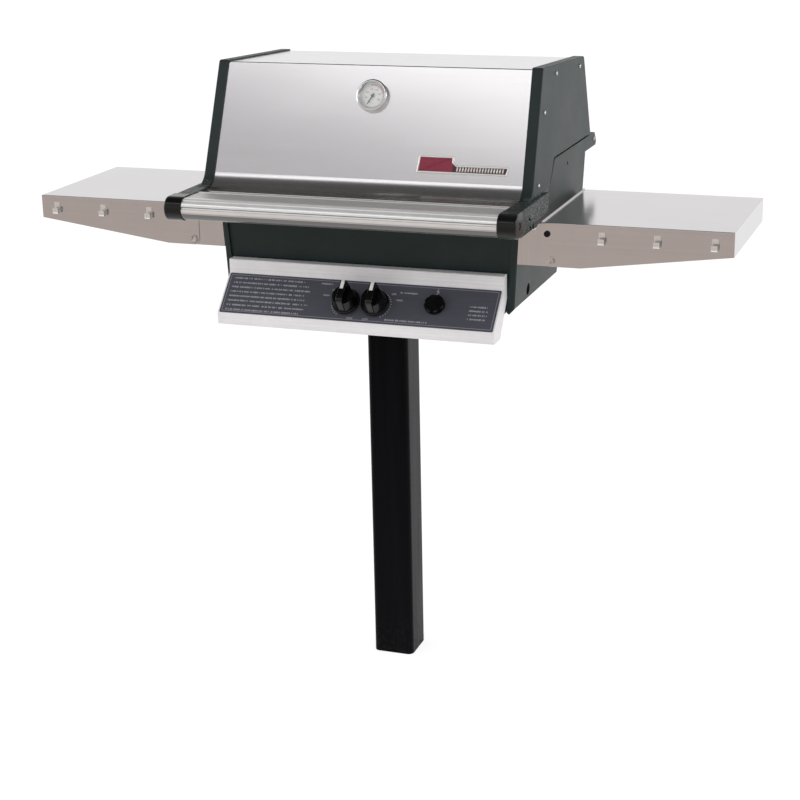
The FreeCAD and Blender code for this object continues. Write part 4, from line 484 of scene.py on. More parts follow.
@dataclass(frozen=True)
class BareMetal:
    """Plain metal: machined, plated, drawn or cast, with spotted tone and a fine relief."""

    name: str
    colour: Colour
    roughness: float = 0.3
    grain: Grain = Grain.NONE
    relief: float = 0.00004
    stain: Colour | None = None
    stain_share: float = 0.5

    def material(self) -> bpy.types.Material:
        """Tone is a mix of fine grain and clouds; the stain fills the cloud's high places.

        Returns:
            The material.
        """
        g = Graph(self.name)
        fine = g.noise(self.grain.value, 3.0, 0.6)
        cloud = g.noise(45.0, 4.0, 0.65)
        both = g.plus(fine, cloud)
        colour = g.blend(g.remap(both, 0.6, 1.4), shade(self.colour, 0.84), self.colour)
        if self.stain is not None:
            colour = g.blend(g.remap(cloud, 0.45, 0.72, 0.0, self.stain_share), colour, self.stain)
        rough = g.remap(both, 0.6, 1.4, self.roughness + 0.07, max(self.roughness - 0.05, 0.03))
        return g.finish(Base_Color=colour, Metallic=1.0, Roughness=rough, Normal=g.bump(fine, self.relief))


@dataclass(frozen=True)
class RibbedGrip:
    """Drawn aluminium grip: a dull dotted top, long draw lines on its beads, and a painted dark reflection on
    its underside.
    """

    name: str
    tint: Colour = (0.90, 0.89, 0.885)
    metal: float = 0.5
    top_tint: Colour = (0.84, 0.82, 0.80)
    top_metal: float = 0.65
    painted_under_reflection: Colour = (0.16, 0.155, 0.15)
    pitch: float = 0.0030
    dot_depth: float = 0.00012
    top_from_y: float = -0.286
    top_to_y: float = -0.232
    top_fade: float = 0.002

    def material(self) -> bpy.types.Material:
        """Dots are waves along x crossed with waves along y, kept to the top between two depths; their colour
        darkens where their relief is low, as painted shade in the dimples.

        Returns:
            The material.
        """
        g = Graph(self.name)
        fine = g.noise(Grain.ALONG_X.value, 3.0, 0.6)
        worn = g.noise(30.0, 3.0, 0.6)
        turn = 2.0 * math.pi / self.pitch
        across, along = (g.maths("SINE", g.times(g.axis(axis), rate)) for axis, rate in
                         (("X", turn), ("Y", turn * 0.9)))
        dots = g.remap(g.times(across, along), -0.2, 0.8)
        inside = g.times(g.remap(g.axis("Y"), self.top_from_y - self.top_fade, self.top_from_y),
                         g.remap(g.axis("Y"), self.top_to_y + self.top_fade, self.top_to_y))
        inside = g.times(inside, g.facing_up())
        colour = g.blend(g.remap(g.plus(fine, worn), 0.6, 1.4), shade(self.tint, 0.88), self.tint)
        # painted shade: the dots' colour darkens where their relief is low, in the dimples
        top = g.blend(g.remap(dots, 0.1, 0.9), shade(self.top_tint, 0.70), self.top_tint)
        colour = g.blend(inside, colour, top)
        # painted reflection: faces that look down are darkened, standing for the dark ground mirrored in the
        # underside
        colour = g.blend(g.facing("Z", -0.05, -0.35), colour, self.painted_under_reflection)
        rough = g.plus(g.remap(worn, 0.3, 0.7, 0.18, 0.26), g.times(inside, 0.20))
        relief = g.bump(g.times(dots, inside), self.dot_depth)
        return g.finish(Base_Color=colour, Metallic=g.remap(inside, 0.0, 1.0, self.metal, self.top_metal),
                        Roughness=rough, Normal=g.bump(fine, 0.000001, relief))


@dataclass(frozen=True)
class PinPlate:
    """Pins with bright heads low down, and black ones above a height as painted shade of the dark hole round
    the stop pin.
    """

    name: str
    split_height: float = 0.928
    bright: Colour = (0.70, 0.69, 0.67)
    black: Colour = (0.020, 0.020, 0.022)

    def material(self) -> bpy.types.Material:
        """The colour changes at the split height to the black of painted shade; clouds of rust and grease lie
        over both.

        Returns:
            The material.
        """
        g = Graph(self.name)
        fine = g.noise(Grain.NONE.value, 3.0, 0.6)
        cloud = g.noise(180.0, 3.0, 0.65)
        share = g.remap(g.axis("Z"), self.split_height - 0.001, self.split_height + 0.001)
        low = g.blend(g.remap(cloud, 0.42, 0.68), self.bright, shade(self.bright, 0.35))
        rough = g.remap(g.plus(fine, cloud), 0.6, 1.4, 0.18, 0.34)
        # painted shade: the pins above the split height are black, standing for the dark hole round the stop
        # pin
        return g.finish(Base_Color=g.blend(share, low, self.black), Metallic=1.0, Roughness=rough,
                        Normal=g.bump(fine, 0.00004))


@dataclass(frozen=True)
class PrintedPlate:
    """Slate-grey printed plate with a faint grain and rubbed patches."""

    name: str
    colour: Colour = (0.078, 0.078, 0.100)

    def material(self) -> bpy.types.Material:
        """Rubbed patches are clouds that lighten the print and smooth it.

        Returns:
            The material.
        """
        g = Graph(self.name)
        fine = g.noise(Grain.ALONG_X.value, 2.0, 0.5)
        cloud = g.noise((14.0, 30.0, 30.0), 4.0, 0.6)
        tone = g.remap(g.plus(fine, cloud), 0.6, 1.4)
        return g.finish(Base_Color=g.blend(tone, shade(self.colour, 0.85), shade(self.colour, 1.2)),
                        Roughness=g.remap(cloud, 0.3, 0.7, 0.46, 0.34), Normal=g.bump(fine, 0.000006),
                        Specular_IOR_Level=0.35)


@dataclass(frozen=True)
class Enamel:
    """Enamel field of the bare plate: red in the tall block, dark brown in the bar beside it."""

    name: str
    block_end: float = 0.1745
    red: Colour = (0.30, 0.030, 0.062)
    dark: Colour = (0.085, 0.030, 0.030)

    def material(self) -> bpy.types.Material:
        """The colour changes where the block ends; a mottled tone and small ripples lie over both.

        Returns:
            The material.
        """
        g = Graph(self.name)
        mottle = g.remap(g.noise(260.0, 3.0, 0.6), 0.35, 0.7)
        share = g.remap(g.axis("X"), self.block_end - 0.0004, self.block_end + 0.0004)
        red, dark = (g.blend(mottle, shade(colour, 0.75), colour) for colour in (self.red, self.dark))
        return g.finish(Base_Color=g.blend(share, red, dark), Roughness=0.24, Specular_IOR_Level=0.35,
                        Normal=g.bump(g.noise(500.0, 1.0), 0.00008))


@dataclass(frozen=True)
class Speckled:
    """Ink, thin paint, rubber or glaze: two tones that a fine noise mixes, and that may raise it."""

    name: str
    colour: Colour
    roughness: float = 0.5
    dark: float = 0.88
    specks: Colour | None = None
    levels: tuple[float, float] | None = None
    scale: float = 700.0
    relief: float = 0.0
    coat: float = 0.0
    sheen: float = 0.0

    def material(self) -> bpy.types.Material:
        """The noise turns the colour into its darker tone, or between two levels into specks.

        Returns:
            The material.
        """
        g = Graph(self.name)
        noise = g.noise(self.scale)
        if self.specks is None:
            colour = g.blend(noise, shade(self.colour, self.dark), self.colour)
        else:
            colour = g.blend(g.remap(noise, *self.levels), self.colour, self.specks)
        relief = {"Normal": g.bump(noise, self.relief)} if self.relief else {}
        return g.finish(Base_Color=colour, Roughness=self.roughness, Coat_Weight=self.coat,
                        Sheen_Weight=self.sheen, **relief)


@dataclass(frozen=True)
class FiredCeramic:
    """Porous fired clay whose pores are darkened as painted shade, with grease stains."""

    name: str
    colour: Colour = (0.50, 0.44, 0.37)
    stain: Colour = (0.10, 0.07, 0.05)
    stain_share: float = 0.6

    def material(self) -> bpy.types.Material:
        """Pores are small cells, darker inside as painted shade; stains are clouds.

        Returns:
            The material.
        """
        g = Graph(self.name)
        pores = g.remap(g.cells(420.0), 0.0, 0.4)
        # painted shade: the pores' colour darkens where their relief is low
        colour = g.blend(pores, shade(self.colour, 0.6), self.colour)
        stained = g.remap(g.noise(22.0, 4.0, 0.6), 0.48, 0.7, 0.0, self.stain_share)
        relief = g.bump(g.times(pores, g.noise(300.0, 3.0)), 0.0004)
        return g.finish(Base_Color=g.blend(stained, colour, self.stain), Roughness=0.82, Normal=relief)


@dataclass(frozen=True)
class ClearGlass:
    """Thin clear window, nearly all of which lets the dial through."""

    name: str

    def material(self) -> bpy.types.Material:
        """Thin film of gloss whose roughness has faint smears.

        Returns:
            The material.
        """
        g = Graph(self.name)
        smear = g.remap(g.noise(90.0, 3.0), 0.5, 0.8, 0.03, 0.09)
        return g.finish(Base_Color=(0.98, 0.99, 0.99), Roughness=smear, Alpha=0.12)


# Surfaces as whole arrays


def new_piece(name: str, points: np.ndarray, faces: list, body: str, finish: Finish,
              smooth: bool = True) -> bpy.types.Object:
    """Puts points and faces in a mesh object with its finish, which rides on a body.

    Args:
        name: the piece's name.
        points: corners, in an array of any shape whose last axis is x, y and z.
        faces: corner numbers of each face.
        body: the body that it rides on.
        finish: its finish.
        smooth: whether its faces are shaded smooth.

    Returns:
        The object.
    """
    mesh = bpy.data.meshes.new(name)
    mesh.from_pydata(points.reshape(-1, 3).tolist(), [], faces)
    mesh.validate()
    mesh.polygons.foreach_set("use_smooth", [smooth] * len(mesh.polygons))
    mesh.materials.append(finish.material())
    piece = bpy.data.objects.new(name, mesh)
    bpy.context.scene.collection.objects.link(piece)
    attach(piece, body)
    log.info("%s with %d faces, on %s", name, len(faces), body)
    return piece


def grid_faces(rows: int, columns: int, wrap_columns: bool, start: int = 0) -> list:
    """Quads between neighbouring rows and columns of a grid of points.

    Args:
        rows: rows of points.
        columns: points in each row.
        wrap_columns: whether each row's last point meets its first.
        start: number of the first point.

    Returns:
        The faces as lists of four point numbers.
    """
    number = np.arange(rows * columns).reshape(rows, columns) + start
    if wrap_columns:
        number = np.hstack([number, number[:, :1]])
    quads = np.stack([number[:-1, :-1], number[:-1, 1:], number[1:, 1:], number[1:, :-1]], axis=-1)
    return quads.reshape(-1, 4).tolist()


def swept(path: np.ndarray, side: np.ndarray, up: np.ndarray, profile: np.ndarray) -> tuple[np.ndarray, list]:
    """Closed bar: the profile carried along a path.

    A point is the path's point plus its side vector times the profile's first number plus its up
    vector times the second. The two ends are closed by flat faces.

    Args:
        path: points along the bar, one per row.
        side: unit vectors across the bar, one for all points or one for each.
        up: unit vectors out of the surface, as side.
        profile: closed outline of the section, one point per row.

    Returns:
        The points and the faces.
    """
    side, up = (np.broadcast_to(way, path.shape) for way in (side, up))
    points = path[:, None] + side[:, None] * profile[None, :, :1] + up[:, None] * profile[None, :, 1:]
    rows, columns = points.shape[:2]
    faces = grid_faces(rows, columns, True)
    faces.append(list(range(columns))[::-1])
    faces.append([(rows - 1) * columns + i for i in range(columns)])
    return points.reshape(-1, 3), faces


def rays(angle: np.ndarray) -> np.ndarray:
    """Cosine and sine of each angle, one pair per row."""
    return np.stack([np.cos(angle), np.sin(angle)], axis=-1)


def rounded_bar(width: float, height: float, sink: float) -> np.ndarray:
    """Section of a low bar with soft upper corners, sunk a little into what carries it.

    Across it is half the width times a cosine; upwards the height times the root of a sine.

    Args:
        width: its width.
        height: its height above the surface.
        sink: how far its foot lies below the surface.

    Returns:
        The outline, one point per row.
    """
    turn = np.linspace(0.0, math.pi, 13)
    upper = np.stack([width / 2 * np.cos(turn), height * np.sin(turn) ** 0.5], axis=-1)
    return np.vstack([upper, [[-width / 2, -sink], [width / 2, -sink]]])


def rounded_path(corners: list[tuple[float, float, float]], steps: int = 8) -> np.ndarray:
    """Closed outline through corners (u, v, radius), each rounded by an arc.

    An arc runs between its two tangent points. Start, corner and end are weighted as a second-degree
    curve, the corner by the cosine of half the turn, which makes it part of a circle.

    Args:
        corners: the corners with their radii.
        steps: points on each arc.

    Returns:
        The outline, one point per row.
    """
    places, radii = np.array(corners)[:, :2], np.array(corners)[:, 2]
    into = places - np.roll(places, 1, axis=0)
    into = into / np.linalg.norm(into, axis=1)[:, None]
    out = np.roll(into, -1, axis=0)
    turn = np.arctan2(np.abs(into[:, 0] * out[:, 1] - into[:, 1] * out[:, 0]), (into * out).sum(axis=1))
    reach = (radii * np.tan(turn / 2))[:, None]
    t = np.linspace(0.0, 1.0, steps)[None, :, None]
    start = (places - into * reach)[:, None]
    end = (places + out * reach)[:, None]
    weight = np.cos(turn / 2)[:, None, None]
    top = (1 - t) ** 2 * start + 2 * weight * t * (1 - t) * places[:, None] + t ** 2 * end
    base = (1 - t) ** 2 + 2 * weight * t * (1 - t) + t ** 2
    return (top / base).reshape(-1, 2)


def moved_in(outline: np.ndarray, distance: float) -> np.ndarray:
    """Counter-clockwise outline moved inwards along its own normals.

    Args:
        outline: the outline, one point per row.
        distance: how far it moves.

    Returns:
        The moved outline.
    """
    along = np.roll(outline, -1, axis=0) - np.roll(outline, 1, axis=0)
    along = along / np.linalg.norm(along, axis=1)[:, None]
    return outline + np.stack([-along[:, 1], along[:, 0]], axis=-1) * distance


@dataclass(frozen=True)
class Plane:
    """Flat place on the object, with unit directions across it, up it and out of it."""

    origin: np.ndarray
    across: np.ndarray
    up: np.ndarray
    out: np.ndarray

    @staticmethod
    def square_to(joint_name: str, sign: float = 1.0) -> "Plane":
        """Face square to a joint's axis, with its origin on that axis.

        Args:
            joint_name: the joint.
            sign: 1 where the joint's axis looks outwards, -1 where it looks inwards.

        Returns:
            The face.
        """
        turning = next(j for j in frame["joints"] if j["name"] == joint_name)
        out = np.array(turning["axis"], float) * sign
        across = np.array([1.0, 0.0, 0.0])
        return Plane(np.array(turning["pos_m"], float), across, np.cross(out, across), out)

    def points(self, u: np.ndarray, v: np.ndarray, w: np.ndarray | float) -> np.ndarray:
        """Points at u across, v up and w out from the origin."""
        u, v, w = (np.asarray(part)[..., None] for part in np.broadcast_arrays(u, v, w))
        return self.origin + u * self.across + v * self.up + w * self.out

    def mix(self, pairs: np.ndarray, first: np.ndarray, second: np.ndarray) -> np.ndarray:
        """Directions that are the first one times each pair's first number plus the second one's."""
        return pairs[:, :1] * first + pairs[:, 1:] * second


def dress(finish: Finish, *nodes: str) -> None:
    """Gives solids a finish.

    Args:
        finish: the finish, whose material is built once.
        nodes: names of the solids.
    """
    material = finish.material()
    for node in nodes:
        slots = frame["nodes"][node].data.materials
        slots.clear()
        slots.append(material)
    log.info("%s on %s", finish.name, ", ".join(nodes))


@dataclass(frozen=True)
class Print:
    """Ink on a flat surface: the surface, how far the ink stands out, its body, and a material slot that is
    not used.
    """

    plane: Plane
    lift: float
    body: str
    slot: str

    def words(self, name: str, lines: list[tuple[str, float, float, float]], ink: Finish) -> None:
        """Generic words or numbers as one thin mesh.

        Args:
            name: the piece's name.
            lines: each word with its place across and up and its size.
            ink: the finish.
        """
        points: list[np.ndarray] = []
        faces: list = []
        count = 0
        for text, u, v, size in lines:
            curve = bpy.data.curves.new(name + "_word", "FONT")
            curve.body = text
            curve.size = size
            curve.align_x = "CENTER"
            curve.align_y = "CENTER"
            curve.resolution_u = 3
            holder = bpy.data.objects.new(name + "_word", curve)
            bpy.context.scene.collection.objects.link(holder)
            bpy.context.view_layer.update()
            shaped = holder.evaluated_get(bpy.context.evaluated_depsgraph_get())
            mesh = bpy.data.meshes.new_from_object(shaped)
            flat = np.zeros(len(mesh.vertices) * 3, np.float32)
            mesh.vertices.foreach_get("co", flat)
            flat = flat.reshape(-1, 3)
            points.append(self.plane.points(u + flat[:, 0], v + flat[:, 1], self.lift))
            faces += [[count + i for i in polygon.vertices] for polygon in mesh.polygons]
            count += len(flat)
            bpy.data.objects.remove(holder)
            bpy.data.meshes.remove(mesh)
            bpy.data.curves.remove(curve)
        new_piece(name, np.vstack(points), faces, self.body, ink, smooth=False)

    def strokes(self, name: str, ends: np.ndarray, width: float, ink: Finish) -> None:
        """Lines, each a thin quad.

        A line's four corners are its two ends moved half the width to either side.

        Args:
            name: the piece's name.
            ends: one line per row: start across, start up, end across, end up.
            width: how wide the lines are.
            ink: the finish.
        """
        along = ends[:, 2:] - ends[:, :2]
        along = along / np.linalg.norm(along, axis=1)[:, None]
        side = np.stack([-along[:, 1], along[:, 0]], axis=-1) * width / 2
        corners = np.stack([ends[:, :2] - side, ends[:, 2:] - side, ends[:, 2:] + side, ends[:, :2] + side],
                           axis=1)
        points = self.plane.points(corners[..., 0], corners[..., 1], self.lift)
        faces = np.arange(len(ends) * 4).reshape(-1, 4).tolist()
        new_piece(name, points, faces, self.body, ink, smooth=False)


# Sub-assemblies


@dataclass
class Pedestal:
    """Post, its head plate and crossbars, bolts and the gas line."""

    soil_height: float = 0.10

    def build(self) -> None:
        """Dresses the solids of the pedestal."""
        dress(PowderCoat("post_powder_coat", soil_height=self.soil_height), "post_tube")
        dress(HeatProofPaint("bracket_paint", (0.012, 0.012, 0.013), 0.0001, 500.0, 0.4, 0.3),
              "post_head_plate", "support_crossbars")
        dress(BareMetal("zinc_plate", (0.60, 0.60, 0.57), 0.34, stain=(0.42, 0.40, 0.34)),
              "mounting_bolts", "gas_cock_lever", "gas_manifold", "gas_feed_tube")
        dress(HeatProofPaint("pipe_varnish", (0.016, 0.014, 0.013), 0.0003, 400.0, 0.38, 0.4),
              "gas_riser_pipe")
        dress(BareMetal("machined_brass", (0.72, 0.52, 0.22), 0.24, stain=(0.35, 0.22, 0.09),
                        stain_share=0.3),
              "gas_cock_body", "left_valve_plug", "right_valve_plug")


@dataclass
class Firebox:
    """Castings, sheets, burners, grates and the grease tray."""

    casting_grain: float = 0.0004
    sheet_grain: float = 0.00006

    def build(self) -> None:
        """Dresses the solids of the firebox."""
        dress(HeatProofPaint("firebox_casting_paint", grain_depth=self.casting_grain),
              "firebox_left_side", "firebox_right_side")
        dress(HeatProofPaint("firebox_sheet_paint", (0.008, 0.018, 0.0175), self.sheet_grain, 900.0, 0.34,
                             wear=0.2),
              "firebox_front_panel", "firebox_rear_panel", "firebox_floor")
        dress(BareMetal("tray_zinc", (0.55, 0.55, 0.53), 0.38, stain=(0.16, 0.10, 0.05)), "grease_tray")
        dress(BareMetal("heat_tinted_steel", (0.50, 0.47, 0.42), 0.33, stain=(0.26, 0.17, 0.24),
                        stain_share=0.6), "left_burner", "right_burner")
        dress(BareMetal("rod_steel", (0.56, 0.55, 0.53), 0.28, stain=(0.20, 0.14, 0.09), stain_share=0.4),
              "left_cooking_grid", "right_cooking_grid", "warming_rack")
        dress(BareMetal("grate_scale", (0.20, 0.18, 0.17), 0.55, relief=0.0001, stain=(0.13, 0.07, 0.04)),
              "briquette_grate")
        dress(FiredCeramic("briquette_clay"), "ceramic_briquettes")
        dress(Speckled("insulator_glaze", (0.84, 0.82, 0.77), 0.16, specks=(0.42, 0.36, 0.30),
                       levels=(0.68, 0.78), scale=900.0, coat=0.5), "igniter_electrode")
        dress(Speckled("lead_sleeve", (0.30, 0.045, 0.03), 0.55, 0.7, scale=1400.0, relief=0.0001, sheen=0.2),
              "igniter_lead")


@dataclass
class Controls:
    """Control panel, its printed plate, valves, knobs and igniter."""

    label_thick: float = 0.0008
    ink_lift: float = 0.00006
    ink: Speckled = Speckled("label_ink", (0.62, 0.62, 0.65))
    faint_ink: Speckled = Speckled("faint_ink", (0.50, 0.50, 0.54))
    border_ink: Speckled = Speckled("border_ink", (0.30, 0.30, 0.34))
    # Knob pointer
    bar_top: float = 0.044
    bar_end: float = 0.0265
    bar_foot: float = 0.010
    bar_corner: float = 0.004
    pointer_start: float = 0.006
    pointer_width: float = 0.0068
    pointer_height: float = 0.0005
    pointer_sink: float = 0.0004
    # Valve spring
    spring_low: float = -0.0269
    spring_high: float = -0.0188
    spring_radius: float = 0.0049
    spring_wire: float = 0.0005
    spring_turns: int = 5
    spring_keep: float = 0.62
    # Settings round a knob: each word with its place and size, mirrored for the left knob
    setting_words: tuple = (("OFF", 0.031, 0.0255, 0.0056), ("LOW", -0.014, -0.0335, 0.0052),
                            ("HIGH", 0.0455, 0.013, 0.0054))
    mark_ring: tuple[float, float] = (0.0292, 0.0312)
    mark_turns: tuple[float, float] = (30.0, 150.0)
    mark_count: int = 12
    mark_width: float = 0.0015
    spark: tuple = ((0.0, 0.036), (-0.003, 0.0305), (0.002, 0.0305), (-0.002, 0.0245))
    line_width: float = 0.0010
    # The printed plate, measured from the middle of the panel
    plate_half: float = 0.280
    plate_top: float = 0.0495
    plate_foot: float = 0.0408
    border_margin: float = 0.0042
    border_width: float = 0.0011
    # Blocks of fine ticks: left, right, top, rows, pitch and the start of the random numbers
    tick_blocks: tuple = ((-0.268, -0.090, 0.0385, 8, 0.0102, 7), (0.226, 0.264, 0.010, 4, 0.0090, 3),
                          (0.064, 0.150, -0.0315, 1, 0.006, 5), (-0.082, -0.056, 0.0385, 1, 0.006, 9),
                          (0.082, 0.122, 0.0300, 1, 0.006, 2))
    tick_step: float = 0.0017
    tick_heights: tuple[float, float] = (0.0010, 0.0021)

    def pointer(self, side: str) -> None:
        """White mark along the up-slope half of a knob's bar and down its end.

        The path runs along the bar's top, turns through a quarter circle of the bar's corner radius
        and runs down its end; the section is a low bar with soft corners.

        Args:
            side: left or right.
        """
        plane = Plane.square_to(side + "_valve_turn")
        turn = np.linspace(0.0, math.pi / 2, 9)
        bend = np.array([self.bar_top, self.bar_end]) - self.bar_corner + self.bar_corner * rays(turn)
        v = np.concatenate([[self.pointer_start], bend[:, 1], [self.bar_end]])
        w = np.concatenate([[self.bar_top], bend[:, 0], [self.bar_foot]])
        up = plane.mix(rays(np.concatenate([[0.0], turn, [math.pi / 2]])), plane.out, plane.up)
        section = rounded_bar(self.pointer_width, self.pointer_height, self.pointer_sink)
        points, faces = swept(plane.points(0.0, v, w), plane.across, up, section)
        new_piece(side + "_knob_pointer", points, faces, side + "_control",
                  Speckled("pointer_white", (0.86, 0.86, 0.85), 0.35))

    def spring(self, side: str) -> None:
        """Coil between plug and spindle.

        Its middle line runs round the axis at the coil's radius and rises evenly.

        Args:
            side: left or right.
        """
        plane = Plane.square_to(side + "_valve_turn")
        angle = np.linspace(0.0, 2 * math.pi * self.spring_turns, 24 * self.spring_turns + 1)
        ray = rays(angle)
        rise = self.spring_low + (self.spring_high - self.spring_low) * angle / angle[-1]
        path = plane.points(ray[:, 0] * self.spring_radius, ray[:, 1] * self.spring_radius, rise)
        section = self.spring_wire * rays(np.linspace(0.0, 2 * math.pi, 8, endpoint=False))
        points, faces = swept(path, plane.mix(ray, plane.across, plane.up), plane.out, section)
        coil = new_piece(side + "_spring_coil", points, faces, side + "_plug",
                         BareMetal(side + "_spring_steel", (0.58, 0.58, 0.58), 0.25))
        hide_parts(side + "_valve_spring")
        foot = plane.points(0.0, 0.0, self.spring_low)
        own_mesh(coil)

    def ticks(self, left: float, right: float, top: float, rows: int, pitch: float, seed: int) -> np.ndarray:
        """Rows of plain upright ticks in groups, the place of fine print.

        Ticks stand at even steps; a random one in five is left out, and each has its own height.

        Args:
            left: where each row starts, across the object.
            right: the farthest that a row reaches.
            top: height of the first row on the sloping face.
            rows: how many there are.
            pitch: their distance.
            seed: start of the random numbers.

        Returns:
            One tick per row of the array.
        """
        rng = np.random.default_rng(seed)
        u = np.arange(left, right, self.tick_step)
        high = rng.uniform(*self.tick_heights, (rows, len(u)))
        ends = left + (right - left) * rng.uniform(0.84, 1.0, (rows, 1))
        kept = (rng.uniform(0.0, 1.0, (rows, len(u))) > 0.2) & (u[None] < ends)
        v = np.repeat(top - pitch * np.arange(rows)[:, None], len(u), axis=1)
        u = np.broadcast_to(u, v.shape)
        return np.stack([u, v - high, u, v + high], axis=-1)[kept]

    def printing(self) -> None:
        """Words and dots round the knobs, a spark, plain ticks for small print, and a border."""
        lift = self.label_thick + self.ink_lift
        for side, sign in SIDES:
            sheet = Print(Plane.square_to(side + "_valve_turn"), lift, "stand", "label_paint")
            sheet.words(side + "_knob_words", [(word, sign * u, v, size) for word, u, v, size
                                               in self.setting_words], self.ink)
            ray = rays(np.radians(90.0 - sign * np.linspace(*self.mark_turns, self.mark_count)))
            sheet.strokes(side + "_knob_marks", np.hstack([ray * radius for radius in self.mark_ring]),
                          self.mark_width, self.ink)
        sheet = Print(Plane.square_to("igniter_twist", -1.0), lift, "stand", "label_paint")
        zigzag = np.array(self.spark)
        sheet.strokes("igniter_spark", np.hstack([zigzag[:-1], zigzag[1:]]), self.line_width, self.ink)
        sheet = Print(Plane.square_to("left_valve_turn"), lift, "stand", "label_paint")
        shift = -sheet.plane.origin[0] * np.array([1.0, 0.0, 1.0, 0.0])
        ticks = np.vstack([self.ticks(*block) for block in self.tick_blocks])
        sheet.strokes("label_rules", ticks + shift, self.line_width, self.faint_ink)
        half, top, foot = (size - self.border_margin for size in (self.plate_half, self.plate_top,
                                                                  self.plate_foot))
        corners = np.array([[-half, -foot], [half, -foot], [half, top], [-half, top]])
        border = np.hstack([corners, np.roll(corners, -1, axis=0)])
        sheet.strokes("label_border", border + shift, self.border_width, self.border_ink)

    def build(self) -> None:
        """Dresses the controls and adds their pointers, springs and printing."""
        dress(BrushedSheet("panel_steel", (0.96, 0.92, 0.945), roughness=0.45, mottle=0.08, metal=0.12),
              "control_panel")
        dress(PrintedPlate("slate_print"), "control_panel_label")
        dress(GlossPlastic("knob_plastic"), "left_burner_knob", "right_burner_knob", "igniter_knob")
        dress(GlossPlastic("igniter_plastic", (0.012, 0.012, 0.013), 0.30), "igniter_body")
        dress(BareMetal("valve_casting", (0.55, 0.55, 0.55), 0.4, relief=0.0001),
              "left_valve_body", "right_valve_body")
        dress(BareMetal("spindle_steel", (0.58, 0.58, 0.58), 0.25), "left_valve_spindle",
              "right_valve_spindle", "left_valve_spring", "right_valve_spring")
        for side, _ in SIDES:
            self.pointer(side)
            self.spring(side)
        self.printing()


